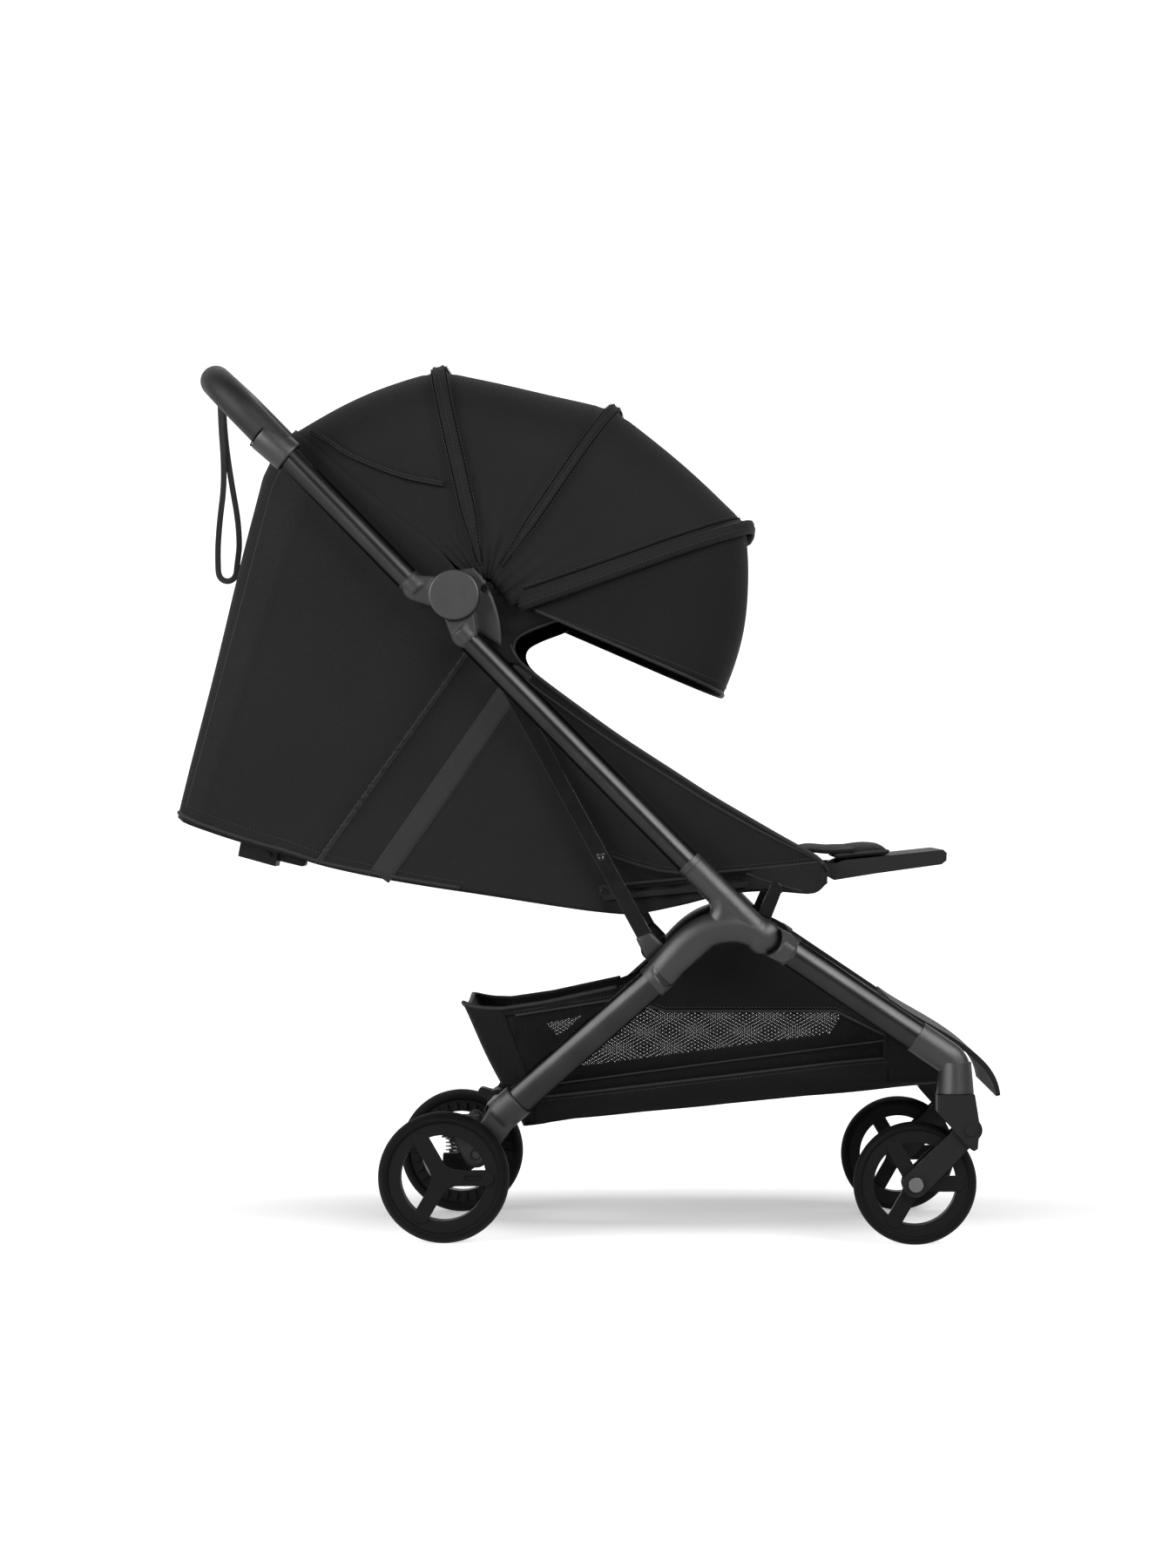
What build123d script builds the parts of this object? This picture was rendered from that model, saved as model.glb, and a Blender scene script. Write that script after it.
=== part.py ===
import os
from math import cos, sin, tan, radians, hypot
from build123d import *

os.makedirs("parts", exist_ok=True)

# ---------------------------------------------------------------- driving dimensions (mm)
FRAME_Y = 195.0            # side frame plane, each side of the middle
TUBE_R = 14.0              # handle and upper tubes
TUBE_WALL = 1.8
SHOULDER = (-150.8, 747.1)     # handle hinge, x and z
HANDLE_LOW = (-205.1, 765.8)   # lower end of the visible handle tube
HANDLE_BAR = (-432.0, 999.5)   # middle of the cross bar of the grip
GRIP_START = 197.0             # where the grip starts, along the tube
GRIP_R = 18.3
UPPER_TOP = (-132.6, 694.8)
UPPER_LOW = (121.3, 436.6)
LEG_PIVOT = (203.7, 354.7)     # front legs fold here
FRONT_TOP = (226.8, 342.9)
FRONT_LOW = (380.6, 239.4)
STEM_X = 425.2                 # caster swivel axis
STEM_Z = 174.3
ARM_PIVOT = (441.7, 133.4)
FRONT_WHEEL = (378.8, 71.0)
FRONT_R = 71.0
REAR_WHEEL = (-164.3, 76.0)
REAR_R = 76.0
REAR_Y = 178.0
REAR_TOP = (75.6, 300.5)
REAR_LOW = (-78.4, 164.0)
REAR_LOW_Y = 152.0
BEAM_PIVOT = (-128.0, 100.0)
BRAKE_BAR = (-112.0, 150.0)
CANOPY = (-116.4, 756.2)       # canopy pivot
RECLINE = (20.0, 404.0)        # backrest hinge
FOOTREST = (276.0, 430.0)      # footrest hinge
BOW_ANGLES = (102.7, 55.6, 14.4)
BOW_RADII = (266.0, 260.0, 316.0)
HOOP_ANGLE, HOOP_RADIUS = 140.0, 296.0
VISOR_ANGLE, VISOR_RADIUS = -23.2, 300.0
BOW_Y = (161.0, 153.7, 146.4)
CLOTH_Y = 168.0                # outer half width of the canopy cloth
PANEL_Y = 149.5                # inner face of the side panels


def unit(a, b):
    d = hypot(b[0] - a[0], b[1] - a[1])
    return ((b[0] - a[0]) / d, (b[1] - a[1]) / d)


def along(a, u, t):
    return (a[0] + u[0] * t, a[1] + u[1] * t)


def bar(a, b, rx, ry, ya=-FRAME_Y, yb=None, mode=Mode.ADD):
    """elliptic bar from a to b in the side plane; rx across (y), ry in the side plane"""
    yb = ya if yb is None else yb
    p = Vector(a[0], ya, a[1])
    d = Vector(b[0], yb, b[1]) - p
    with BuildSketch(Plane(origin=p, x_dir=(0, 1, 0), z_dir=d)) as sk:
        if rx == ry:
            Circle(rx)
        else:
            Ellipse(rx, ry)
    extrude(sk.sketch, amount=d.length, mode=mode)


def disc(c, r, y0, y1, mode=Mode.ADD):
    """round plate about an axis along y, from y=-y0 to y=-y1"""
    with BuildSketch(Plane.XZ.offset(y0)) as sk:
        with Locations(c):
            Circle(r)
    extrude(sk.sketch, amount=y1 - y0, mode=mode)


def link(c0, r0, c1, r1, y0, y1, mode=Mode.ADD):
    """flat link with two round ends, from y=-y0 to y=-y1"""
    with BuildSketch(Plane.XZ.offset(y0)) as sk:
        with Locations(c0):
            Circle(r0)
        with Locations(c1):
            Circle(r1)
        make_hull()
    extrude(sk.sketch, amount=y1 - y0, mode=mode)


def plate(pts, y0, y1, mode=Mode.ADD):
    """flat polygon in the side plane, from y=-y0 to y=-y1"""
    with BuildSketch(Plane.XZ.offset(y0)) as sk:
        Polygon(*pts, align=None)
    extrude(sk.sketch, amount=y1 - y0, mode=mode)


def save(builder, name):
    builder.part.label = name
    export_step(builder.part, "parts/" + name + ".step")


U_UP = unit(UPPER_TOP, UPPER_LOW)
U_H = unit(HANDLE_LOW, HANDLE_BAR)
HANDLE_HIGH = along(HANDLE_LOW, U_H, GRIP_START)
U_F = unit(FRONT_TOP, FRONT_LOW)
U_R = unit(REAR_TOP, REAR_LOW)
REAR_SLOPE = (FRAME_Y - REAR_LOW_Y) / hypot(REAR_TOP[0] - REAR_LOW[0], REAR_TOP[1] - REAR_LOW[1])


def rear_y(t):
    """half width of the rear leg axis, t mm below its top"""
    return FRAME_Y - REAR_SLOPE * t


# ================================================================ chassis
with BuildPart() as upper_tubes:
    bar(along(UPPER_TOP, U_UP, -10), along(UPPER_LOW, U_UP, 30), TUBE_R, TUBE_R)
    bar(along(UPPER_TOP, U_UP, -11), along(UPPER_LOW, U_UP, 31), TUBE_R - TUBE_WALL, TUBE_R - TUBE_WALL, mode=Mode.SUBTRACT)
    mirror(about=Plane.XZ)
save(upper_tubes, "upper_tubes")

with BuildPart() as knuckles_lower:
    link(SHOULDER, 20, along(UPPER_TOP, U_UP, -9), 14.6, 182.6, 207.4)
    disc(SHOULDER, 29.6, 197.7, 220, mode=Mode.SUBTRACT)
    disc(SHOULDER, 29, 181, 197.6)
    bar(along(UPPER_TOP, U_UP, -18), UPPER_TOP, 15.7, 15.7)
    disc(SHOULDER, 29.6, 197.7, 220, mode=Mode.SUBTRACT)
    with BuildSketch(Plane.XZ.offset(169)):
        with BuildLine():
            l1 = ThreePointArc((-122.0, 772.0), (-104.0, 735.0), (-98.0, 690.0))
            l2 = Line(l1 @ 1, (-122.0, 705.0))
            l3 = Line(l2 @ 1, (-152.0, 728.0))
            l4 = Line(l3 @ 1, (-152.0, 777.0))
            l5 = Line(l4 @ 1, (-130.0, 780.0))
            l6 = Line(l5 @ 1, l1 @ 0)
        make_face()
    extrude(amount=9.4)
    link(SHOULDER, 17, along(UPPER_TOP, U_UP, -9), 13, 177, 183)
    bar(along(UPPER_TOP, U_UP, -10), along(UPPER_TOP, U_UP, 90), TUBE_R, TUBE_R, mode=Mode.SUBTRACT)
    disc(SHOULDER, 5, 165, 215, mode=Mode.SUBTRACT)
    disc(CANOPY, 4, 150, 200, mode=Mode.SUBTRACT)
    mirror(about=Plane.XZ)
save(knuckles_lower, "knuckles_lower")

ARCH = [(75.6, 300.5), (114.0, 342.6), (143.0, 362.0), (168.1, 366.6), (190.1, 362.6), LEG_PIVOT]
with BuildPart() as y_joints:
    with BuildLine() as arch_path:
        Spline(*[(p[0], -FRAME_Y, p[1]) for p in ARCH], tangents=[(-U_R[0], 0, -U_R[1]), (0.80, 0, -0.60)])
    with BuildSketch(Plane(origin=(ARCH[0][0], -FRAME_Y, ARCH[0][1]), x_dir=(0, 1, 0), z_dir=(-U_R[0], 0, -U_R[1]))):
        Ellipse(15.6, 19.2)
    sweep(path=arch_path.line)
    bar(along(UPPER_LOW, U_UP, -5), along(UPPER_LOW, U_UP, 3), 16.3, 16.3)
    bar(along(UPPER_LOW, U_UP, -4), LEG_PIVOT, 15.0, 15.9)
    # the crotch of the Y: a bend that runs from the neck into the rear branch
    q0, q2 = along(UPPER_LOW, U_UP, 16), (95.0, 317.7)
    with BuildLine() as crotch_path:
        FilletPolyline((q0[0], -FRAME_Y, q0[1]), (171.5, -FRAME_Y, 385.5), (q2[0], -FRAME_Y, q2[1]), radius=28)
    with BuildSketch(Plane(origin=(q0[0], -FRAME_Y, q0[1]), x_dir=(0, 1, 0), z_dir=(U_UP[0], 0, U_UP[1]))):
        Ellipse(14.4, 15.6)
    sweep(path=crotch_path.line)
    # domed end over the leg pivot
    with BuildSketch(Plane(origin=(LEG_PIVOT[0], -195.5, LEG_PIVOT[1]), x_dir=(1, 0, 0), z_dir=(0, 0, 1))) as dome:
        with BuildLine():
            EllipticalCenterArc((0, 0), 21.0, 15.0, start_angle=270, arc_size=90)
            Line((21.0, 0), (0, 0))
            Line((0, 0), (0, -15.0))
        make_face()
    revolve(dome.sketch, axis=Axis((LEG_PIVOT[0], -195.5, LEG_PIVOT[1]), (0, 1, 0)))
    disc(LEG_PIVOT, 26.5, 170, 195.4, mode=Mode.SUBTRACT)
    bar(along(UPPER_LOW, U_UP, -8), along(UPPER_LOW, U_UP, 30), TUBE_R, TUBE_R, mode=Mode.SUBTRACT)
    bar(along(REAR_TOP, U_R, -17), along(REAR_TOP, U_R, 12), 13.2, 17.4, -rear_y(-17), -rear_y(12), mode=Mode.SUBTRACT)
    disc(LEG_PIVOT, 5, 150, 209.4, mode=Mode.SUBTRACT)
    mirror(about=Plane.XZ)
save(y_joints, "y_joints")

with BuildPart() as rear_leg_tubes:
    L_R = hypot(REAR_TOP[0] - REAR_LOW[0], REAR_TOP[1] - REAR_LOW[1])
    bar(along(REAR_TOP, U_R, -17), along(REAR_TOP, U_R, L_R + 14), 13.2, 17.4, -rear_y(-17), -rear_y(L_R + 14))
    bar(along(REAR_TOP, U_R, -18), along(REAR_TOP, U_R, L_R + 15), 11.4, 15.6, -rear_y(-18), -rear_y(L_R + 15), mode=Mode.SUBTRACT)
    mirror(about=Plane.XZ)
save(rear_leg_tubes, "rear_leg_tubes")

with BuildPart() as rear_hubs:
    bar(REAR_LOW, along(REAR_LOW, U_R, 30), 16.2, 20.2, -rear_y(L_R), -rear_y(L_R + 30))
    link(along(REAR_LOW, U_R, 22), 18.5, BEAM_PIVOT, 15.0, 134, 158)
    link(BEAM_PIVOT, 15.0, (-146.0, 120.0), 9.0, 134, 158)
    plate([(-170, 118.5), (-140, 118.5), (-140, 124), (-166, 124)], 114, 140)
    bar(along(REAR_LOW, U_R, -2), along(REAR_LOW, U_R, 14), 13.2, 17.4, -rear_y(L_R - 2), -rear_y(L_R + 14), mode=Mode.SUBTRACT)
    disc(BEAM_PIVOT, 5, 100, 170, mode=Mode.SUBTRACT)
    disc(BRAKE_BAR, 8.2, 100, 133.95, mode=Mode.SUBTRACT)
    disc(REAR_WHEEL, 78.0, 159.5, 220, mode=Mode.SUBTRACT)
    mirror(about=Plane.XZ)
save(rear_hubs, "rear_hubs")

with BuildPart() as rear_crossbar:
    disc(BRAKE_BAR, 8.0, -133.9, 133.9)
    disc(BRAKE_BAR, 6.2, -140, 140, mode=Mode.SUBTRACT)
save(rear_crossbar, "rear_crossbar")

STRUT_TOP, STRUT_LOW = (-95.7, 653.1), (76.0, 339.0)
with BuildPart() as seat_stays:
    link(STRUT_TOP, 8.8, STRUT_LOW, 8.8, 168.6, 173.2)
    disc(STRUT_LOW, 13.0, 168.6, 173.2)
    disc(STRUT_TOP, 4.0, 173.2, 180.9)
    disc((17.1, 446.5), 4.6, 173.2, 175.4)
    link((219.2, 409.0), 7.6, (200.6, 364.0), 8.4, 166.4, 171.6)
    disc(LEG_PIVOT, 9.6, 166.4, 171.6)
    plate([(212, 402.5), (227, 404), (227, 411), (212, 409.5)], 149, 168)
    disc(LEG_PIVOT, 5, 150, 180, mode=Mode.SUBTRACT)
    mirror(about=Plane.XZ)
save(seat_stays, "seat_stays")

with BuildPart() as pivot_pins:
    disc(SHOULDER, 5, 178.5, 209.3)
    disc(LEG_PIVOT, 5, 162.0, 209.4)
    disc(BEAM_PIVOT, 5, 116.0, 158.6)
    disc(CANOPY, 4, 141.0, 180.4)
    mirror(about=Plane.XZ)
    disc(RECLINE, 5, -148.6, 148.6)
    disc(FOOTREST, 4, -140.0, 140.0)
save(pivot_pins, "pivot_pins")

HD = (cos(radians(HOOP_ANGLE)), sin(radians(HOOP_ANGLE)))
with BuildPart() as rear_hoop:
    h0, h1 = along(CANOPY, HD, 26), along(CANOPY, HD, HOOP_RADIUS - 7)
    with BuildLine() as hoop_path:
        FilletPolyline((h0[0], -161, h0[1]), (h1[0], -161, h1[1]), (h1[0], 161, h1[1]), (h0[0], 161, h0[1]), radius=74)
    with BuildSketch(Plane(origin=(h0[0], -161, h0[1]), z_dir=(HD[0], 0, HD[1]))):
        Circle(3.5)
    sweep(path=hoop_path.line)
    disc(h0, 3.4, 160.0, 168.9)
    disc(h0, 3.4, -168.9, -160.0)
save(rear_hoop, "rear_hoop")

with BuildPart() as seat_pan:
    plate([(34, 396), (268, 417.5), (268, 424), (34, 403)], -146, 146)
    for y0 in (139.4, -148.0):
        link(RECLINE, 9.5, (38, 400), 3.4, y0, y0 + 8.6)
    disc(RECLINE, 5, -160, 160, mode=Mode.SUBTRACT)
    for y0 in (134.0, -140.0):
        link(FOOTREST, 8.0, (262, 421), 3.2, y0, y0 + 6.0)
    disc(FOOTREST, 4, -160, 160, mode=Mode.SUBTRACT)
save(seat_pan, "seat_pan")

with BuildPart() as seat_cushion:
    plate([(42, 404.6), (255, 424.0), (255, 451), (236, 454), (46, 430)], -144, 144)
    fillet(seat_cushion.edges().filter_by(Axis.Y).group_by(Axis.Z)[-1], 6)
save(seat_cushion, "seat_cushion")

SIDE = [(-178, 757), (-345, 907), (-373, 897), (-474, 497), (-468, 484), (-398, 462), (-250, 424), (-34, 389.5),
        (8, 379), (262, 402), (281, 415), (274, 438), (245, 458), (181, 495.5), (116, 535.5), (51, 578), (-14, 624),
        (-46, 648), (-80, 675), (-90, 698), (-125, 712), (-150, 728)]
with BuildPart() as side_panels:
    plate(SIDE, PANEL_Y, PANEL_Y + 2.0)
    plate([(208, 380), (231, 380), (231, 413), (208, 413)], 140, 160, mode=Mode.SUBTRACT)
    mirror(about=Plane.XZ)
save(side_panels, "side_panels")

with BuildPart() as back_panel:
    plate([(-377.0, 900), (-375.0, 900), (-476.6, 488), (-479.3, 488)], -149, 149)
save(back_panel, "back_panel")

with BuildPart() as basket_rear:
    plate([(-146, 273), (-125.6, 234), (-101.8, 184.7), (-76, 128), (-19.4, 138.9), (110, 150.6), (110, 318), (72, 306), (34, 294)], -128, 128)
    plate([(-149, 285), (-123.4, 235), (-99.6, 185.7), (-74.8, 130.4), (-19.4, 141), (115, 152.8), (115, 340), (72, 340), (34, 320)], -126, 126, mode=Mode.SUBTRACT)
save(basket_rear, "basket_rear")

with BuildPart() as basket_front:
    plate([(110.6, 150.7), (384, 178), (414, 181), (420, 197), (371, 226), (240, 316), (173.7, 338), (110.6, 318)], -128, 128)
    plate([(105, 152.3), (384, 180.1), (412.5, 182.9), (417.5, 199), (371, 242), (240, 345), (170, 365), (105, 345)], -126, 126, mode=Mode.SUBTRACT)
save(basket_front, "basket_front")

with BuildPart() as harness_buckle:
    with BuildSketch(Plane(origin=(101, 0, 478), x_dir=(0, 1, 0), z_dir=(0.83, 0, 0.56))):
        RectangleRounded(46, 40, 9)
    extrude(amount=7, both=True)
    with BuildSketch(Plane(origin=(101, 0, 478), x_dir=(0, 1, 0), z_dir=(0.83, 0, 0.56)).offset(7)):
        Circle(10.4)
    extrude(amount=-6, mode=Mode.SUBTRACT)
    fillet(harness_buckle.faces().sort_by(Axis((101, 0, 478), (0.83, 0, 0.56)))[-1].edges().sort_by(SortBy.LENGTH)[-1], 1.5)
save(harness_buckle, "harness_buckle")

with BuildPart() as buckle_button:
    with BuildSketch(Plane(origin=(101, 0, 478), x_dir=(0, 1, 0), z_dir=(0.83, 0, 0.56)).offset(3.4)):
        Circle(10.3)
    extrude(amount=5.0)
    fillet(buckle_button.edges().sort_by(Axis((101, 0, 478), (0.83, 0, 0.56)))[-1], 1.2)
save(buckle_button, "buckle_button")

# ================================================================ handle
with BuildPart() as handle_tubes:
    bar(along(HANDLE_LOW, U_H, -10), along(HANDLE_HIGH, U_H, 20), TUBE_R, TUBE_R)
    bar(along(HANDLE_LOW, U_H, -11), along(HANDLE_HIGH, U_H, 21), TUBE_R - TUBE_WALL, TUBE_R - TUBE_WALL, mode=Mode.SUBTRACT)
    mirror(about=Plane.XZ)
save(handle_tubes, "handle_tubes")

with BuildPart() as handle_grip:
    with BuildLine() as grip_path:
        FilletPolyline((HANDLE_HIGH[0], -FRAME_Y, HANDLE_HIGH[1]), (HANDLE_BAR[0], -FRAME_Y, HANDLE_BAR[1]),
                       (HANDLE_BAR[0], FRAME_Y, HANDLE_BAR[1]), (HANDLE_HIGH[0], FRAME_Y, HANDLE_HIGH[1]), radius=62)
    with BuildSketch(Plane(origin=(HANDLE_HIGH[0], -FRAME_Y, HANDLE_HIGH[1]), x_dir=(0, 1, 0), z_dir=(U_H[0], 0, U_H[1]))):
        Circle(GRIP_R)
    sweep(path=grip_path.line)
    for y in (-FRAME_Y, FRAME_Y):
        bar(along(HANDLE_HIGH, U_H, -2), along(HANDLE_HIGH, U_H, 20), TUBE_R, TUBE_R, y, y, mode=Mode.SUBTRACT)
    with Locations((HANDLE_BAR[0], 0, HANDLE_BAR[1] - GRIP_R + 4.0)):
        Box(17, 46.4, 14, mode=Mode.SUBTRACT)
save(handle_grip, "handle_grip")

with BuildPart() as fold_button:
    with Locations((HANDLE_BAR[0], 0, HANDLE_BAR[1] - GRIP_R - 0.5)):
        Box(16.2, 45.6, 9)
    fillet(fold_button.edges().filter_by(Axis.Z), 3)
    fillet(fold_button.faces().sort_by(Axis.Z)[0].edges(), 1.6)
save(fold_button, "fold_button")

with BuildPart() as knuckles_upper:
    link(SHOULDER, 20, along(HANDLE_LOW, U_H, -15), 14.6, 182.6, 207.4)
    disc(SHOULDER, 29.6, 170, 197.85, mode=Mode.SUBTRACT)
    disc(SHOULDER, 29, 197.9, 209.5)
    bar(along(HANDLE_LOW, U_H, -18), HANDLE_LOW, 15.7, 15.7)
    disc(SHOULDER, 29.6, 170, 197.85, mode=Mode.SUBTRACT)
    bar(along(HANDLE_LOW, U_H, -10), along(HANDLE_LOW, U_H, 25), TUBE_R, TUBE_R, mode=Mode.SUBTRACT)
    disc(SHOULDER, 5.05, 170, 220, mode=Mode.SUBTRACT)
    mirror(about=Plane.XZ)
save(knuckles_upper, "knuckles_upper")

with BuildPart() as shoulder_caps:
    disc(SHOULDER, 29.3, 209.6, 213.6)
    fillet(shoulder_caps.faces().sort_by(Axis.Y)[0].edges(), 2.4)
    mirror(about=Plane.XZ)
save(shoulder_caps, "shoulder_caps")

STRAP = [(-432.0, -99.0, 981.0), (-431.0, -99.0, 950.0), (-428.0, -98.8, 914.0), (-427.8, -98.4, 878.0), (-432.5, -97.8, 842.0),
         (-434.8, -97.3, 812.0), (-435.0, -97.1, 798.0), (-434.8, -96.9, 788.0), (-434.5, -96.7, 779.0), (-432.5, -96.4, 772.8),
         (-427.2, -96.1, 768.9), (-420.6, -95.9, 768.9), (-415.3, -95.6, 772.8), (-413.3, -95.3, 779.0), (-412.6, -95.1, 788.0),
         (-411.3, -94.9, 798.0), (-409.8, -94.7, 812.0), (-411.8, -94.2, 842.0), (-418.3, -93.6, 878.0), (-424.0, -93.2, 914.0),
         (-428.0, -93.0, 950.0), (-429.5, -93.0, 981.0)]
STRAP_BENDS = []
for p, q, r in zip(STRAP, STRAP[1:], STRAP[2:]):
    before, after = Vector(*q) - Vector(*p), Vector(*r) - Vector(*q)
    turn = radians(before.get_angle(after))
    STRAP_BENDS.append(0.45 * min(before.length, after.length) / tan(turn / 2))
print("wrist strap bend radii", [round(r, 1) for r in STRAP_BENDS])
with BuildPart() as wrist_strap:
    with BuildLine() as strap_path:
        FilletPolyline(*STRAP, radius=STRAP_BENDS)
    with BuildSketch(Plane(origin=STRAP[0], z_dir=Vector(*STRAP[1]) - Vector(*STRAP[0]))):
        Circle(2.5)
    sweep(path=strap_path.line)
print("wrist strap length", round(sum(e.length for e in strap_path.edges()), 1))
save(wrist_strap, "wrist_strap")

# ================================================================ front legs
with BuildPart() as front_leg_tubes:
    bar(along(FRONT_TOP, U_F, 2), along(FRONT_LOW, U_F, 12), 13.4, 16.6)
    bar(along(FRONT_TOP, U_F, 1), along(FRONT_LOW, U_F, 13), 11.6, 14.8, mode=Mode.SUBTRACT)
    mirror(about=Plane.XZ)
save(front_leg_tubes, "front_leg_tubes")

with BuildPart() as front_leg_brackets:
    link(LEG_PIVOT, 18.0, along(FRONT_TOP, U_F, -1), 17.4, 181, 209)
    disc(LEG_PIVOT, 22.6, 195.2, 215, mode=Mode.SUBTRACT)
    bar(along(FRONT_TOP, U_F, -1), along(FRONT_TOP, U_F, 13), 15.2, 18.4)
    bar(along(FRONT_TOP, U_F, 2), along(FRONT_TOP, U_F, 30), 13.4, 16.6, mode=Mode.SUBTRACT)
    disc(LEG_PIVOT, 22.6, 195.2, 215, mode=Mode.SUBTRACT)
    disc(LEG_PIVOT, 5.05, 150, 215, mode=Mode.SUBTRACT)
    mirror(about=Plane.XZ)
save(front_leg_brackets, "front_leg_brackets")

CORNER = (STEM_X, FRONT_LOW[1] + U_F[1] / U_F[0] * (STEM_X - FRONT_LOW[0]))
with BuildPart() as front_elbows:
    with BuildLine() as elbow_path:
        FilletPolyline((FRONT_LOW[0], -FRAME_Y, FRONT_LOW[1]), (CORNER[0], -FRAME_Y, CORNER[1]), (STEM_X, -FRAME_Y, STEM_Z), radius=24)
    with BuildSketch(Plane(origin=(FRONT_LOW[0], -FRAME_Y, FRONT_LOW[1]), x_dir=(0, 1, 0), z_dir=(U_F[0], 0, U_F[1]))):
        Ellipse(15.6, 18.6)
    sweep(path=elbow_path.line)
    with Locations((STEM_X, -FRAME_Y, STEM_Z)):
        Cone(21.6, 18.4, 36, align=(Align.CENTER, Align.CENTER, Align.MIN))
    bar(along(FRONT_LOW, U_F, -2), along(FRONT_LOW, U_F, 12), 13.4, 16.6, mode=Mode.SUBTRACT)
    with Locations((STEM_X, -FRAME_Y, STEM_Z - 1)):
        Cylinder(6.05, 27, align=(Align.CENTER, Align.CENTER, Align.MIN), mode=Mode.SUBTRACT)
    mirror(about=Plane.XZ)
save(front_elbows, "front_elbows")

with BuildPart() as footplate:
    with BuildSketch(Plane.XZ.offset(-168)):
        with BuildLine():
            o = Spline((352, 281), (404, 249), (442, 225), (466, 203), (479.3, 170))
            e1 = Line(o @ 1, (474.4, 168.6))
            i = Spline(e1 @ 1, (461.5, 199), (438.5, 220), (401, 243.5), (349.4, 275.6))
            e2 = Line(i @ 1, o @ 0)
        make_face()
    extrude(amount=336)
    disc((371, 257), 7.5, -181.3, 181.3)
save(footplate, "footplate")


# ================================================================ casters and front wheels
with BuildPart() as caster_housing_right:
    plate([(403.8, 173.8), (446.4, 173.8), (452.0, 138.2), (449.5, 112), (445, 109.5), (441, 112), (403.8, 153.5)], 170, 220)
    fillet(caster_housing_right.edges().filter_by(Axis.Y).group_by(Axis.Z)[0], 2.0)
    plate([(390, 150.0), (470, 150.0), (470, 90), (390, 90)], 175.0, 215.0, mode=Mode.SUBTRACT)
    fillet(caster_housing_right.edges().filter_by(Axis.Z).group_by(Axis.X)[0], 3.0)
    disc(ARM_PIVOT, 4.0, 169.0, 221.0)
    disc(ARM_PIVOT, 6.6, 219.9, 222.2)
    disc(ARM_PIVOT, 6.6, 167.8, 170.1)
    with Locations((STEM_X, -FRAME_Y, 173.0)):
        Cylinder(6.0, 26.0, align=(Align.CENTER, Align.CENTER, Align.MIN))
save(caster_housing_right, "caster_housing_right")
with BuildPart() as caster_housing_left:
    mirror(caster_housing_right.part, about=Plane.XZ)
save(caster_housing_left, "caster_housing_left")

with BuildPart() as swing_arm_right:
    for y0 in (175.5, 209.7):
        link(ARM_PIVOT, 13.5, FRONT_WHEEL, 15.0, y0, y0 + 4.8)
    plate([(436, 121.6), (447, 121.6), (452, 131), (446, 142), (437, 141)], 178, 212)
    disc(FRONT_WHEEL, 75.5, 180.4, 209.6, mode=Mode.SUBTRACT)
    disc(ARM_PIVOT, 4.05, 170, 220, mode=Mode.SUBTRACT)
    disc(FRONT_WHEEL, 5.0, 170, 220, mode=Mode.SUBTRACT)
save(swing_arm_right, "swing_arm_right")
with BuildPart() as swing_arm_left:
    mirror(swing_arm_right.part, about=Plane.XZ)
save(swing_arm_left, "swing_arm_left")

with BuildPart() as caster_spring_right:
    with BuildLine(Plane(origin=(430.5, -FRAME_Y, 142.4), z_dir=(0, 0, 1))) as coil:
        Helix(pitch=2.5, height=5.2, radius=3.6)
    with BuildSketch(Plane(origin=coil.line @ 0, z_dir=coil.line % 0)):
        Circle(0.8)
    sweep(path=coil.line, is_frenet=True)
save(caster_spring_right, "caster_spring_right")
with BuildPart() as caster_spring_left:
    mirror(caster_spring_right.part, about=Plane.XZ)
save(caster_spring_left, "caster_spring_left")

with BuildPart() as front_axle_right:
    disc(FRONT_WHEEL, 5.0, 172.0, 218.0)
    disc(FRONT_WHEEL, 8.4, 214.7, 220.6)
    disc(FRONT_WHEEL, 8.4, 170.0, 175.4)
save(front_axle_right, "front_axle_right")
with BuildPart() as front_axle_left:
    mirror(front_axle_right.part, about=Plane.XZ)
save(front_axle_left, "front_axle_left")


def tyre_profile(c, y, r_out, r_in, half):
    with BuildSketch(Plane(origin=(c[0], -y, c[1]), x_dir=(1, 0, 0), z_dir=(0, 0, -1))) as sk:
        with BuildLine():
            a = Polyline((r_in, -half + 1.5), (r_in + 2.2, -half), (r_out - 6.5, -half))
            b = ThreePointArc(a @ 1, (r_out, 0), (r_out - 6.5, half))
            Polyline(b @ 1, (r_in + 2.2, half), (r_in, half - 1.5), a @ 0)
        make_face()
    revolve(sk.sketch, axis=Axis((c[0], -y, c[1]), (0, 1, 0)))


def wheel_body(c, y, r_ring, r_hole, half, hub_half, bore, face, blind=40.0):
    disc(c, r_ring, y - half, y + half)
    disc(c, r_hole, y - half - 1, y + half + 1, mode=Mode.SUBTRACT)
    with BuildSketch(Plane(origin=(c[0], -(y + face - 8.5), c[1]), x_dir=(1, 0, 0), z_dir=(0, -1, 0))) as star:
        with PolarLocations(0, 3):
            Rectangle(r_hole + 9.0, 18.0, align=(Align.MIN, Align.CENTER))
        fillet(star.vertices().filter_by(lambda v: hypot(v.X, v.Y) > 30), 8.6)
        fillet(star.vertices().filter_by(lambda v: hypot(v.X, v.Y) < 20), 22.0)
    extrude(star.sketch, amount=8.5)
    disc(c, 12.5, y - hub_half, y + min(hub_half, face - 0.5))
    disc(c, bore, y - 40, y + blind, mode=Mode.SUBTRACT)


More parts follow.
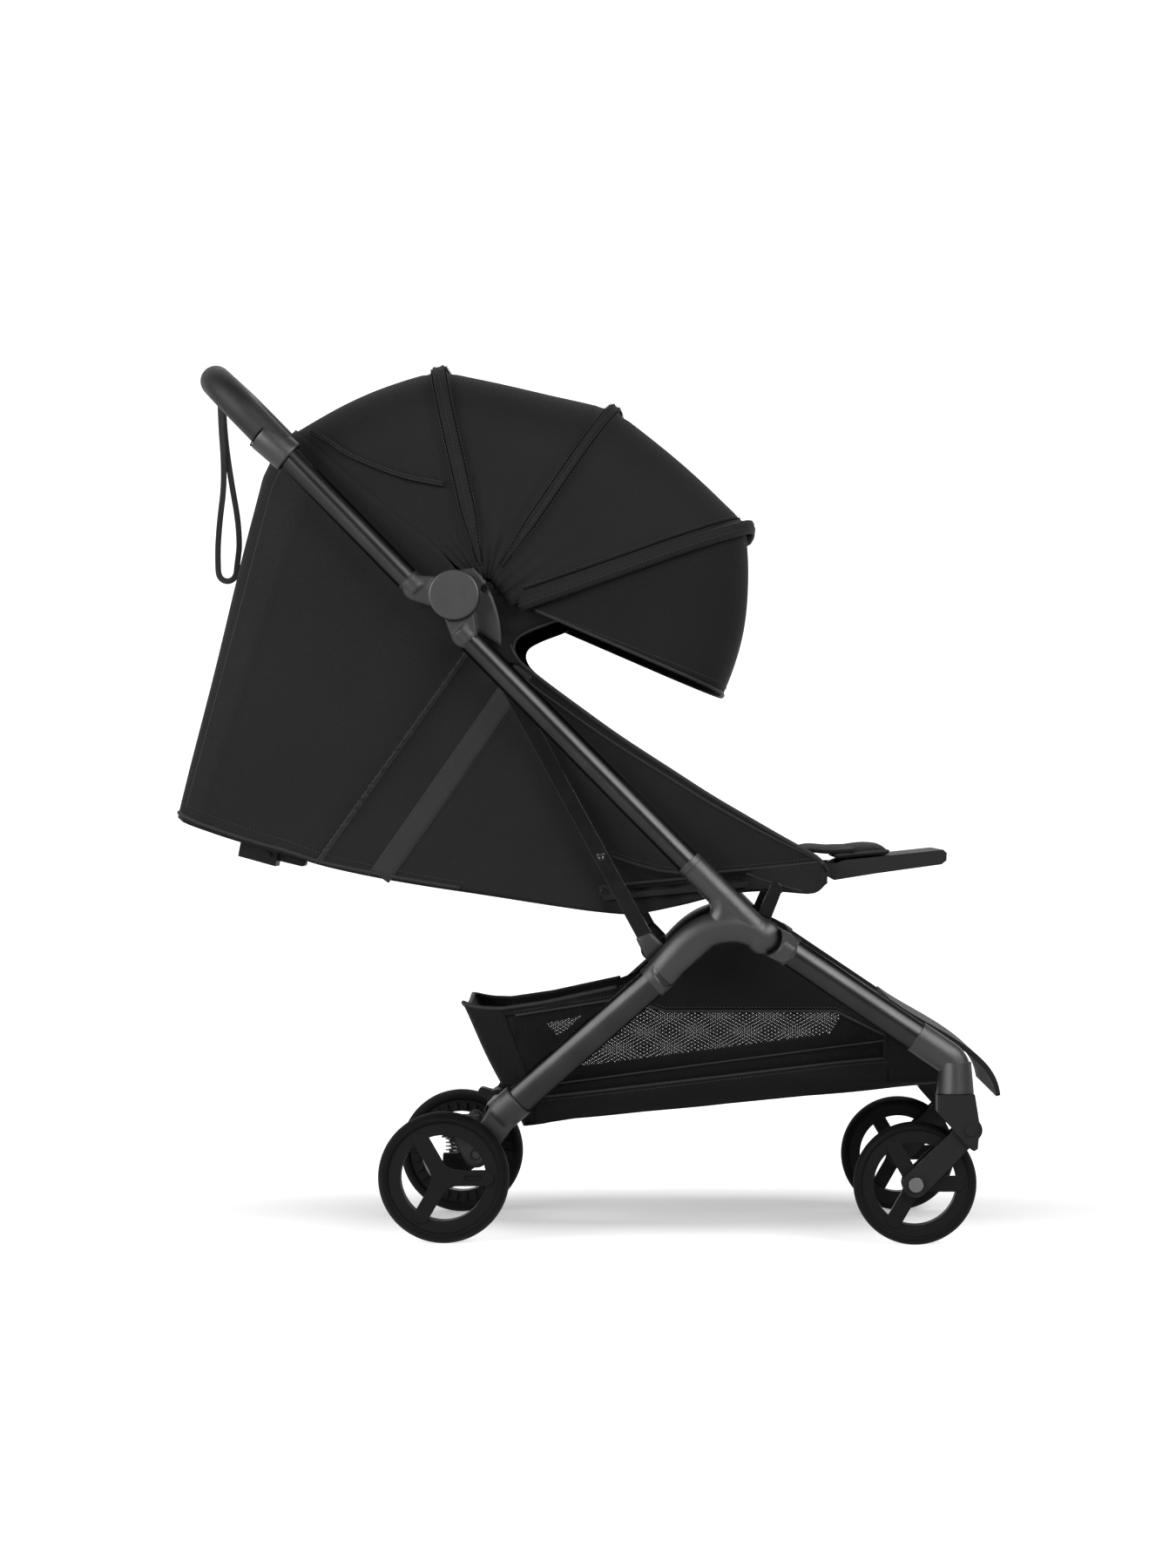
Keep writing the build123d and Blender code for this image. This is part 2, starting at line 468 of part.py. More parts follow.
with BuildPart() as front_tyre_right:
    tyre_profile(FRONT_WHEEL, FRAME_Y, FRONT_R, 61.0, 12.5)
save(front_tyre_right, "front_tyre_right")
with BuildPart() as front_tyre_left:
    mirror(front_tyre_right.part, about=Plane.XZ)
save(front_tyre_left, "front_tyre_left")

with BuildPart() as front_wheel_right:
    wheel_body(FRONT_WHEEL, FRAME_Y, 61.0, 47.5, 10.5, 13.6, 5.05, 12.0)
save(front_wheel_right, "front_wheel_right")
with BuildPart() as front_wheel_left:
    mirror(front_wheel_right.part, about=Plane.XZ)
save(front_wheel_left, "front_wheel_left")

# ================================================================ rear axle, wheels and brake
with BuildPart() as rear_axle_beam:
    disc(REAR_WHEEL, 7.5, -132.6, 132.6)
    disc(REAR_WHEEL, 6.0, -188.6, 188.6)
    for y0 in (118.0, -132.6):
        link(BEAM_PIVOT, 12.5, REAR_WHEEL, 13.0, y0, y0 + 14.6)
    for y0 in (118.0, -132.6):
        plate([(-169, 84), (-147, 84), (-150, 99.4), (-168, 99.4)], y0, y0 + 14.6)
    disc(BEAM_PIVOT, 5.05, -160, 160, mode=Mode.SUBTRACT)
save(rear_axle_beam, "rear_axle_beam")

with BuildPart() as rear_springs:
    with BuildLine(Plane(origin=(-159.0, -125.5, 101.2), z_dir=(0, 0, 1))) as coil_r:
        Helix(pitch=4.2, height=15.6, radius=6.0)
    with BuildSketch(Plane(origin=coil_r.line @ 0, z_dir=coil_r.line % 0)):
        Circle(1.0)
    sweep(path=coil_r.line, is_frenet=True)
    mirror(about=Plane.XZ)
save(rear_springs, "rear_springs")

with BuildPart() as rear_tyre_right:
    tyre_profile(REAR_WHEEL, REAR_Y, REAR_R, 64.0, 16.5)
save(rear_tyre_right, "rear_tyre_right")
with BuildPart() as rear_tyre_left:
    mirror(rear_tyre_right.part, about=Plane.XZ)
save(rear_tyre_left, "rear_tyre_left")

with BuildPart() as rear_wheel_right:
    wheel_body(REAR_WHEEL, REAR_Y, 64.0, 49.5, 13.0, 16.5, 6.05, 15.0, blind=11.0)
    with BuildSketch(Plane(origin=(REAR_WHEEL[0], -(REAR_Y - 13.0), REAR_WHEEL[1]), x_dir=(1, 0, 0), z_dir=(0, 1, 0))):
        with PolarLocations(56, 30):
            Rectangle(9.0, 3.0)
    extrude(amount=3.0)
    with BuildSketch(Plane(origin=(REAR_WHEEL[0], -(REAR_Y + 15.0), REAR_WHEEL[1]), x_dir=(1, 0, 0), z_dir=(0, 1, 0))):
        with Locations((35.0, 0)):
            SlotOverall(22.0, 6.4)
    extrude(amount=2.2, mode=Mode.SUBTRACT)
save(rear_wheel_right, "rear_wheel_right")
with BuildPart() as rear_wheel_left:
    mirror(rear_wheel_right.part, about=Plane.XZ)
save(rear_wheel_left, "rear_wheel_left")

with BuildPart() as brake_pedal:
    disc(BRAKE_BAR, 12.5, -96, -24)
    link(BRAKE_BAR, 9.0, (-104.3, 171.8), 4.6, -92, -66)
    link(BRAKE_BAR, 9.0, (-131.5, 160.0), 4.6, -54, -28)
    disc(BRAKE_BAR, 8.05, -110, -10, mode=Mode.SUBTRACT)
save(brake_pedal, "brake_pedal")

# ================================================================ backrest
U_B = (-0.9833, 0.1819)
N_B = (0.1819, 0.9833)


def back_point(r, n):
    return (RECLINE[0] + U_B[0] * r + N_B[0] * n, RECLINE[1] + U_B[1] * r + N_B[1] * n)


with BuildPart() as backrest_board:
    plate([back_point(4, -4), back_point(482, -4), back_point(482, 3), back_point(4, 3)], -138, 138)
    disc(RECLINE, 9.0, -138, 138)
    disc(RECLINE, 5.05, -150, 150, mode=Mode.SUBTRACT)
    fillet(backrest_board.edges().filter_by(lambda e: abs(abs(e.center().Y) - 138) < 0.01 and e.length < 8 and e.center().X < -300), 1.5)
save(backrest_board, "backrest_board")

with BuildPart() as backrest_pad:
    plate([back_point(46, 3.3), back_point(480, 3.3), back_point(478, 20), back_point(466, 25), back_point(60, 25), back_point(48, 20)], -137, 137)
save(backrest_pad, "backrest_pad")

with BuildPart() as shoulder_straps:
    plate([back_point(150, 25.4), back_point(350, 25.4), back_point(350, 31.4), back_point(150, 31.4)], 34, 74)
    mirror(about=Plane.XZ)
save(shoulder_straps, "shoulder_straps")

with BuildPart() as recline_clip:
    plate([back_point(394, -44), back_point(440, -40), back_point(440, -18), back_point(394, -18)], -24, 24)
    plate([back_point(404, -19), back_point(430, -19), back_point(430, -4.3), back_point(404, -4.3)], -15, 15)
    plate([back_point(385, -37.6), back_point(412, -37.6), back_point(412, -24.4), back_point(385, -24.4)], -16.4, 16.4, mode=Mode.SUBTRACT)
    disc(back_point(404, -31), 2.5, -30, 30)
save(recline_clip, "recline_clip")

with BuildPart() as recline_lever:
    link(back_point(404, -31), 5.4, back_point(364, -35), 3.6, -15.8, 15.8)
    disc(back_point(404, -31), 2.55, -30, 30, mode=Mode.SUBTRACT)
save(recline_lever, "recline_lever")

# ================================================================ footrest
with BuildPart() as footrest_frame:
    plate([(288, 418), (338, 426), (414, 436.5), (419.5, 441), (420, 450), (416, 453.6), (300, 441.4), (287, 436.5)], -128, 128)
    plate([(300, 400), (400, 400), (400, 445.6), (300, 435.2)], -112, 112, mode=Mode.SUBTRACT)
    for y0 in (118.0, -128.0):
        link(FOOTREST, 8.0, (292, 430), 8.0, y0, y0 + 10.0)
    disc(FOOTREST, 9.0, -117, 117, mode=Mode.SUBTRACT)
    disc(FOOTREST, 4.05, -150, 150, mode=Mode.SUBTRACT)
    fillet(footrest_frame.edges().filter_by(lambda e: abs(abs(e.center().Y) - 128) < 0.01 and e.center().X > 412 and e.length > 4), 1.5)
save(footrest_frame, "footrest_frame")

with BuildPart() as footrest_pad:
    plate([(292, 442.2), (352, 448.2), (350, 456.5), (338, 458.6), (296, 458), (290, 452)], -126, 126)
save(footrest_pad, "footrest_pad")


# ================================================================ canopy
def bow_path(angle, radius, y, corner):
    d = (cos(radians(angle)), sin(radians(angle)))
    a, b = along(CANOPY, d, 6.5), along(CANOPY, d, radius)
    FilletPolyline((a[0], -y, a[1]), (b[0], -y, b[1]), (b[0], y, b[1]), (a[0], y, a[1]), radius=corner)


def bow_end(angle, y):
    d = (cos(radians(angle)), sin(radians(angle)))
    a = along(CANOPY, d, 6.5)
    with BuildSketch(Plane(origin=(a[0], -y, a[1]), z_dir=(d[0], 0, d[1]))) as sk:
        Circle(3.3)
    return sk.sketch


def bow_eyes(y):
    disc(CANOPY, 9.0, y - 3.0, y + 3.0)
    disc(CANOPY, 9.0, -y - 3.0, -y + 3.0)
    disc(CANOPY, 4.05, -200, 200, mode=Mode.SUBTRACT)


with BuildPart() as bow_rear:
    with BuildLine() as path_1:
        bow_path(BOW_ANGLES[0], BOW_RADII[0] - 7.0, BOW_Y[0], 74)
    sweep(bow_end(BOW_ANGLES[0], BOW_Y[0]), path=path_1.line)
    bow_eyes(BOW_Y[0])
save(bow_rear, "bow_rear")

with BuildPart() as bow_middle:
    with BuildLine() as path_2:
        bow_path(BOW_ANGLES[1], BOW_RADII[1] - 7.0, BOW_Y[1], 74)
    sweep(bow_end(BOW_ANGLES[1], BOW_Y[1]), path=path_2.line)
    bow_eyes(BOW_Y[1])
save(bow_middle, "bow_middle")

with BuildPart() as bow_front:
    with BuildLine() as path_3:
        bow_path(BOW_ANGLES[2], BOW_RADII[2] - 7.0, BOW_Y[2], 74)
    sweep(bow_end(BOW_ANGLES[2], BOW_Y[2]), path=path_3.line)
    bow_eyes(BOW_Y[2])
save(bow_front, "bow_front")


def cloth_face(angle, radius, y=CLOTH_Y, low=34.0, corner=80.0, t=2.2):
    d = (cos(radians(angle)), sin(radians(angle)))
    pl = Plane(origin=(CANOPY[0], 0, CANOPY[1]), x_dir=(0, 1, 0), z_dir=(-d[1], 0, d[0]))
    s = 1.0 if pl.y_dir.X * d[0] + pl.y_dir.Z * d[1] > 0 else -1.0
    with BuildSketch(pl) as sk:
        with BuildLine():
            outer = FilletPolyline((-y, s * low), (-y, s * radius), (y, s * radius), (y, s * low), radius=corner)
            inner = FilletPolyline((-y + t, s * low), (-y + t, s * (radius - t)), (y - t, s * (radius - t)), (y - t, s * low), radius=corner - t)
            Line(outer @ 0, inner @ 0)
            Line(outer @ 1, inner @ 1)
        make_face()
    return sk.sketch


with BuildPart() as canopy_rear:
    loft([cloth_face(HOOP_ANGLE - 0.3, HOOP_RADIUS), cloth_face(BOW_ANGLES[0] + 0.3, BOW_RADII[0])], ruled=True)
save(canopy_rear, "canopy_rear")

with BuildPart() as canopy_middle:
    loft([cloth_face(BOW_ANGLES[0] - 0.3, BOW_RADII[0]), cloth_face(BOW_ANGLES[1] + 0.3, BOW_RADII[1])], ruled=True)
save(canopy_middle, "canopy_middle")

with BuildPart() as canopy_front:
    loft([cloth_face(BOW_ANGLES[1] - 0.3, BOW_RADII[1]), cloth_face(BOW_ANGLES[2] + 0.3, BOW_RADII[2])], ruled=True)
save(canopy_front, "canopy_front")

with BuildPart() as sun_visor:
    loft([cloth_face(BOW_ANGLES[2] - 1.1, BOW_RADII[2] - 9.0, low=70.0), cloth_face(VISOR_ANGLE, VISOR_RADIUS - 4.0, low=110.0)], ruled=True)
save(sun_visor, "sun_visor")
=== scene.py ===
import math
import bpy
import bmesh
import numpy as np
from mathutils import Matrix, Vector
from mathutils.kdtree import KDTree


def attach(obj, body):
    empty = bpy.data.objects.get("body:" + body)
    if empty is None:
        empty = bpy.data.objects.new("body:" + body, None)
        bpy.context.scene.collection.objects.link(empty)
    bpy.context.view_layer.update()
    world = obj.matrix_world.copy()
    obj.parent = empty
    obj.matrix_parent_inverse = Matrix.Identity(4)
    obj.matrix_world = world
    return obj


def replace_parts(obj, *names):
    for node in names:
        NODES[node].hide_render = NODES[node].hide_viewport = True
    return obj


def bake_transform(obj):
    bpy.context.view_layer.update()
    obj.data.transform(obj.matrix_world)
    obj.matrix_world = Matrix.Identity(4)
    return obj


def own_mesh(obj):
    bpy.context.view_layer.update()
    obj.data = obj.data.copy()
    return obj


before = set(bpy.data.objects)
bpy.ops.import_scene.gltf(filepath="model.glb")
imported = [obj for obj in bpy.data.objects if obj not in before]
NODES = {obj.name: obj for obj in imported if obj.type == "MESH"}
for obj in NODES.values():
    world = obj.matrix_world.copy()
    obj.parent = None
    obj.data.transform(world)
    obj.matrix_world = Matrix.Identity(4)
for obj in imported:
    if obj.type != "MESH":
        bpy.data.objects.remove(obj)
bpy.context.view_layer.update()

scene = bpy.context.scene
scene.view_settings.view_transform = "Standard"

# ---------------------------------------------------------------- camera
cam_data = bpy.data.cameras.new("camera")
cam = bpy.data.objects.new("camera", cam_data)
scene.collection.objects.link(cam)
cam.location = (0.128, -4.725, 0.510)
cam.rotation_euler = (math.pi / 2, 0, 0)
cam_data.sensor_fit = "AUTO"
cam_data.sensor_width = 36.0
cam_data.lens = 4520.0 / 1800.0 * 36.0
cam_data.shift_x = -125.0 / 1800.0
cam_data.shift_y = 20.0 / 1800.0
cam_data.clip_end = 60.0
scene.camera = cam

# ---------------------------------------------------------------- wrist strap route
STRAP = [(-432.0, -99.0, 981.0), (-431.0, -99.0, 950.0), (-428.0, -98.8, 914.0), (-427.8, -98.4, 878.0), (-432.5, -97.8, 842.0),
         (-434.8, -97.3, 812.0), (-435.0, -97.1, 798.0), (-434.8, -96.9, 788.0), (-434.5, -96.7, 779.0), (-432.5, -96.4, 772.8),
         (-427.2, -96.1, 768.9), (-420.6, -95.9, 768.9), (-415.3, -95.6, 772.8), (-413.3, -95.3, 779.0), (-412.6, -95.1, 788.0),
         (-411.3, -94.9, 798.0), (-409.8, -94.7, 812.0), (-411.8, -94.2, 842.0), (-418.3, -93.6, 878.0), (-424.0, -93.2, 914.0),
         (-428.0, -93.0, 950.0), (-429.5, -93.0, 981.0)]
strap_curve = bpy.data.curves.new("strap_route", "CURVE")
strap_curve.dimensions = "3D"
strap_spline = strap_curve.splines.new("NURBS")
strap_spline.points.add(len(STRAP) - 1)
for i, p in enumerate(STRAP):
    strap_spline.points[i].co = (p[0] / 1000, p[1] / 1000, p[2] / 1000, 1.0)
strap_spline.order_u = 3
strap_spline.use_endpoint_u = True
strap_curve.resolution_u = 8
strap_route = bpy.data.objects.new("strap_route", strap_curve)
scene.collection.objects.link(strap_route)
strap_mesh = bpy.data.meshes.new_from_object(strap_route)
STRAP_PTS = np.array([v.co for v in strap_mesh.vertices], float)
bpy.data.objects.remove(strap_route)


# ---------------------------------------------------------------- small maths
def mm(*v):
    return np.array(v, float) / 1000.0


def resample(pts, step):
    pts = np.asarray(pts, float)
    d = np.r_[0, np.cumsum(np.linalg.norm(np.diff(pts, axis=0), axis=1))]
    n = max(2, int(round(d[-1] / step)) + 1)
    t = np.linspace(0, d[-1], n)
    return np.stack([np.interp(t, d, pts[:, k]) for k in range(pts.shape[1])], 1)


def smooth_line(ctrl, n):
    """Catmull-Rom through control points, n points evenly in parameter"""
    c = np.asarray(ctrl, float)
    c = np.vstack([2 * c[0] - c[1], c, 2 * c[-1] - c[-2]])
    m = len(c) - 3
    out = []
    for u in np.linspace(0, m, n):
        i = min(int(u), m - 1)
        t = u - i
        p0, p1, p2, p3 = c[i], c[i + 1], c[i + 2], c[i + 3]
        out.append(0.5 * (2 * p1 + (p2 - p0) * t + (2 * p0 - 5 * p1 + 4 * p2 - p3) * t * t + (3 * p1 - p0 - 3 * p2 + p3) * t ** 3))
    return np.array(out)


def sstep(a, b, x):
    t = np.clip((np.asarray(x, float) - a) / (b - a), 0, 1)
    return t * t * (3 - 2 * t)


def ripple(p, k, seed):
    """smooth repeatable waviness of points p, k waves per metre, about -1 to 1"""
    r = np.random.default_rng(seed)
    s = np.zeros(len(p))
    for _ in range(5):
        d = r.normal(size=3)
        d /= np.linalg.norm(d)
        s += np.sin(2 * math.pi * k * r.uniform(0.6, 1.5) * (p @ d) + r.uniform(0, 6.28))
    return s / 3.0


# ---------------------------------------------------------------- materials
def new_mat(name):
    m = bpy.data.materials.new(name)
    m.use_nodes = True
    nt = m.node_tree
    nt.nodes.clear()
    out = nt.nodes.new("ShaderNodeOutputMaterial")
    bsdf = nt.nodes.new("ShaderNodeBsdfPrincipled")
    nt.links.new(bsdf.outputs[0], out.inputs[0])
    return m, nt, bsdf


def node(nt, kind, **kw):
    n = nt.nodes.new(kind)
    for k, v in kw.items():
        setattr(n, k, v)
    return n


def noise(nt, coord, scale, detail=3.0, rough=0.55):
    n = node(nt, "ShaderNodeTexNoise")
    n.inputs["Scale"].default_value = scale
    n.inputs["Detail"].default_value = detail
    n.inputs["Roughness"].default_value = rough
    nt.links.new(coord, n.inputs["Vector"])
    return n.outputs["Fac"]


def rng_map(nt, sock, a, b, lo=0.0, hi=1.0):
    n = node(nt, "ShaderNodeMapRange")
    n.inputs["From Min"].default_value = lo
    n.inputs["From Max"].default_value = hi
    n.inputs["To Min"].default_value = a
    n.inputs["To Max"].default_value = b
    nt.links.new(sock, n.inputs["Value"])
    return n.outputs["Result"]


def math_n(nt, op, a, b=None):
    n = node(nt, "ShaderNodeMath", operation=op)
    for i, v in enumerate((a, b)):
        if v is None:
            continue
        if isinstance(v, (int, float)):
            n.inputs[i].default_value = v
        else:
            nt.links.new(v, n.inputs[i])
    return n.outputs[0]


def two_tone(nt, fac, c0, c1):
    n = node(nt, "ShaderNodeMix", data_type="RGBA")
    n.inputs[6].default_value = (*c0, 1)
    n.inputs[7].default_value = (*c1, 1)
    nt.links.new(fac, n.inputs[0])
    return n.outputs[2]


def bump(nt, height, strength, distance, normal=None):
    n = node(nt, "ShaderNodeBump")
    n.inputs["Strength"].default_value = strength
    n.inputs["Distance"].default_value = distance
    nt.links.new(height, n.inputs["Height"])
    if normal is not None:
        nt.links.new(normal, n.inputs["Normal"])
    return n.outputs[0]


def coords(nt, which="Object"):
    return node(nt, "ShaderNodeTexCoord").outputs[which]


def hard_mat(name, c0, c1, r0, r1, grain, grain_strength, coat=0.0, coat_rough=0.3, bevel=0.0, metallic=0.0, spec=0.5, edge=1.0):
    m, nt, b = new_mat(name)
    co = coords(nt)
    blot = noise(nt, co, 22.0, 4)
    fine = noise(nt, co, grain, 2)
    smear = noise(nt, co, 70.0, 5, 0.65)
    nt.links.new(two_tone(nt, rng_map(nt, blot, 0, 1, 0.3, 0.7), c0, c1), b.inputs["Base Color"])
    mixed = math_n(nt, "ADD", math_n(nt, "MULTIPLY", smear, 0.7), math_n(nt, "MULTIPLY", fine, 0.3))
    nt.links.new(rng_map(nt, mixed, r0, r1, 0.3, 0.7), b.inputs["Roughness"])
    nrm = None
    if bevel:
        bv = node(nt, "ShaderNodeBevel")
        bv.samples = 4
        bv.inputs["Radius"].default_value = bevel
        nrm = bv.outputs[0]
    nt.links.new(bump(nt, fine, grain_strength, 0.0004, nrm), b.inputs["Normal"])
    b.inputs["Metallic"].default_value = metallic
    b.inputs["Specular IOR Level"].default_value = spec
    b.inputs["Specular Tint"].default_value = (edge, edge, edge, 1)
    b.inputs["Coat Weight"].default_value = coat
    b.inputs["Coat Roughness"].default_value = coat_rough
    return m


def weave_mat(name, c0, c1, pitch, rough, sheen, strength, twill=False, spec=0.07):
    """woven cloth: over-and-under threads in the cloth's own flat coordinates, in metres"""
    m, nt, b = new_mat(name)
    uv = coords(nt, "UV")
    sep = node(nt, "ShaderNodeSeparateXYZ")
    nt.links.new(uv, sep.inputs[0])
    k = 2 * math.pi / pitch
    u = math_n(nt, "MULTIPLY", sep.outputs[0], k)
    v = math_n(nt, "MULTIPLY", sep.outputs[1], k)
    if twill:
        a = math_n(nt, "SINE", math_n(nt, "ADD", u, v))
        c = math_n(nt, "SINE", math_n(nt, "MULTIPLY", u, 0.5))
        w = math_n(nt, "ADD", math_n(nt, "MULTIPLY", a, 0.5), math_n(nt, "MULTIPLY", c, 0.2))
    else:
        w = math_n(nt, "MULTIPLY", math_n(nt, "SINE", u), math_n(nt, "SINE", v))
    slub = noise(nt, uv, 420.0, 3)
    cloud = noise(nt, uv, 14.0, 4)
    h = math_n(nt, "ADD", math_n(nt, "MULTIPLY", w, 0.5), slub)
    shade = math_n(nt, "ADD", math_n(nt, "MULTIPLY", rng_map(nt, w, 0, 1, -1, 1), 0.45), math_n(nt, "MULTIPLY", cloud, 0.75))
    nt.links.new(two_tone(nt, rng_map(nt, shade, 0, 1, 0.2, 0.95), c0, c1), b.inputs["Base Color"])
    nt.links.new(rng_map(nt, slub, rough - 0.1, rough + 0.1, 0.3, 0.7), b.inputs["Roughness"])
    nt.links.new(bump(nt, h, strength, 0.0003), b.inputs["Normal"])
    b.inputs["Sheen Weight"].default_value = sheen
    b.inputs["Sheen Roughness"].default_value = 0.5
    b.inputs["Sheen Tint"].default_value = (0.25, 0.25, 0.26, 1)
    b.inputs["Specular IOR Level"].default_value = spec
    return m


def g(v, warm=0.0):
    return (v * (1 + warm), v, v * (1 - warm))


M_TUBE = hard_mat("satin_tube", g(0.022), g(0.028), 0.285, 0.305, 2200.0, 0.05, metallic=1.0, edge=0.5)
M_PLASTIC = hard_mat("moulded_plastic", g(0.00330), g(0.00462), 0.38, 0.47, 1500.0, 0.20, bevel=0.0014, spec=0.42)
M_KNUCKLE = hard_mat("rounded_plastic", g(0.0030), g(0.0042), 0.40, 0.46, 1500.0, 0.20, bevel=0.0055, spec=0.33)
M_DARK = hard_mat("dark_plastic", g(0.00110), g(0.00170), 0.54, 0.66, 1500.0, 0.2, bevel=0.0010, spec=0.16)
M_WHEEL = hard_mat("wheel_plastic", g(0.00110), g(0.00170), 0.42, 0.54, 1700.0, 0.18, bevel=0.0010, spec=0.09)
M_ENAMEL = hard_mat("black_enamel", g(0.0012), g(0.0022), 0.15, 0.22, 900.0, 0.04, bevel=0.0015, spec=0.32)
M_STEEL = hard_mat("dark_steel", g(0.10), g(0.14), 0.28, 0.42, 900.0, 0.1, metallic=1.0, bevel=0.0005)
M_SPRING = hard_mat("spring_steel", g(0.16), g(0.22), 0.25, 0.4, 900.0, 0.1, metallic=1.0)
# painted shade: thin near-black lines laid in seam grooves and at the grip collars, standing for the shadow there
M_SEAM_SHADE = hard_mat("seam_shadow", g(0.0012), g(0.0022), 0.8, 0.9, 1500.0, 0.2, spec=0.03)
M_THREAD = hard_mat("thread", g(0.012), g(0.018), 0.6, 0.75, 1800.0, 0.3, spec=0.2)
M_CLOTH = weave_mat("canopy_cloth", g(0.00364), g(0.00559), 0.0012, 0.72, 0.05, 0.35)
M_CLOTH2 = weave_mat("seat_cloth", g(0.00377), g(0.00585), 0.0014, 0.74, 0.05, 0.4)
M_LINING = weave_mat("lining_cloth", g(0.00286), g(0.00442), 0.0016, 0.8, 0.04, 0.35)
M_BASKET = weave_mat("basket_cloth", g(0.00156), g(0.00260), 0.0013, 0.74, 0.04, 0.4)
M_QUILT = weave_mat("quilt_cloth", g(0.00208), g(0.00338), 0.0018, 0.8, 0.08, 0.5)
M_WEB = weave_mat("webbing", g(0.00774), g(0.01483), 0.0021, 0.66, 0.10, 0.8, twill=True)
M_BIND = weave_mat("binding", g(0.00260), g(0.00468), 0.0012, 0.62, 0.06, 0.5, twill=True, spec=0.2)
M_NET = weave_mat("net_yarn", g(0.00208), g(0.00416), 0.0010, 0.6, 0.06, 0.4)


def tyre_mat():
    m, nt, b = new_mat("tyre_foam")
    co = coords(nt)
    fine = noise(nt, co, 1100.0, 3)
    scuff = noise(nt, co, 55.0, 6, 0.7)
    nt.links.new(two_tone(nt, rng_map(nt, scuff, 0, 1, 0.4, 0.75), g(0.0010), g(0.0024)), b.inputs["Base Color"])
    nt.links.new(rng_map(nt, scuff, 0.55, 0.75, 0.3, 0.7), b.inputs["Roughness"])
    nt.links.new(bump(nt, fine, 0.35, 0.0004), b.inputs["Normal"])
    b.inputs["Specular IOR Level"].default_value = 0.06
    return m


def grip_mat():
    m, nt, b = new_mat("grip_leather")
    co = coords(nt)
    vor = node(nt, "ShaderNodeTexVoronoi", feature="DISTANCE_TO_EDGE")
    vor.inputs["Scale"].default_value = 620.0
    nt.links.new(co, vor.inputs["Vector"])
    fine = noise(nt, co, 900.0, 4)
    rub = noise(nt, co, 18.0, 4)
    hgt = math_n(nt, "ADD", math_n(nt, "MULTIPLY", rng_map(nt, vor.outputs["Distance"], 0, 1, 0.0, 0.25), 0.7), math_n(nt, "MULTIPLY", fine, 0.3))
    nt.links.new(two_tone(nt, rng_map(nt, rub, 0, 1, 0.3, 0.7), g(0.003), g(0.005)), b.inputs["Base Color"])
    nt.links.new(rng_map(nt, rub, 0.42, 0.58, 0.3, 0.7), b.inputs["Roughness"])
    nt.links.new(bump(nt, hgt, 0.4, 0.0005), b.inputs["Normal"])
    b.inputs["Specular IOR Level"].default_value = 0.20
    return m


M_TYRE = tyre_mat()
M_GRIP = grip_mat()


# ---------------------------------------------------------------- mesh builders
def add_obj(name, verts, faces, material, uvs=None, smooth=True):
    me = bpy.data.meshes.new(name)
    me.from_pydata([tuple(v) for v in np.asarray(verts, float)], [], [tuple(int(i) for i in f) for f in faces])
    if uvs is not None:
        lay = me.uv_layers.new(name="UVMap")
        idx = np.zeros(len(me.loops), int)
        me.loops.foreach_get("vertex_index", idx)
        lay.data.foreach_set("uv", np.asarray(uvs, np.float32)[idx].ravel())
    me.materials.append(material)
    me.polygons.foreach_set("use_smooth", [smooth] * len(me.polygons))
    me.update()
    o = bpy.data.objects.new(name, me)
    scene.collection.objects.link(o)
    return o


def grid_faces(n, m, off=0, flip=False):
    i, j = np.meshgrid(np.arange(n - 1), np.arange(m - 1), indexing="ij")
    a = (i * m + j).ravel() + off
    f = np.stack([a, a + m, a + m + 1, a + 1], 1)
    return f[:, ::-1] if flip else f


def grid_uv(P):
    du = np.linalg.norm(np.diff(P, axis=0), axis=2)
    dv = np.linalg.norm(np.diff(P, axis=1), axis=2)
    u = np.r_[0, np.cumsum(du.mean(1))]
    v = np.r_[0, np.cumsum(dv.mean(0))]
    U, V = np.meshgrid(u, v, indexing="ij")
    return np.stack([U, V], 2).reshape(-1, 2)


def sheet_obj(name, P, material, thick=0.0016, flip=False, offset=-1.0, sub=0):
    n, m = P.shape[:2]
    o = add_obj(name, P.reshape(-1, 3), grid_faces(n, m, 0, flip), material, grid_uv(P))
    if sub:
        s = o.modifiers.new("subdivision", "SUBSURF")
        s.levels = s.render_levels = sub
    if thick:
        s = o.modifiers.new("thickness", "SOLIDIFY")
        s.thickness = thick
        s.offset = offset
    return o


def frames(pts, side=None):
    pts = np.asarray(pts, float)
    t = np.gradient(pts, axis=0)
    t /= np.linalg.norm(t, axis=1)[:, None]
    if side is not None:
        s = np.broadcast_to(np.asarray(side, float), pts.shape).copy()
        s -= (s * t).sum(1)[:, None] * t
        s /= np.linalg.norm(s, axis=1)[:, None]
        return t, s, np.cross(t, s)
    s = np.zeros_like(pts)
    ref = np.array([0, 1.0, 0]) if abs(t[0][1]) < 0.9 else np.array([1.0, 0, 0])
    cur = ref - (ref @ t[0]) * t[0]
    for i in range(len(pts)):
        cur = cur - (cur @ t[i]) * t[i]
        cur /= np.linalg.norm(cur)
        s[i] = cur
    return t, s, np.cross(t, s)


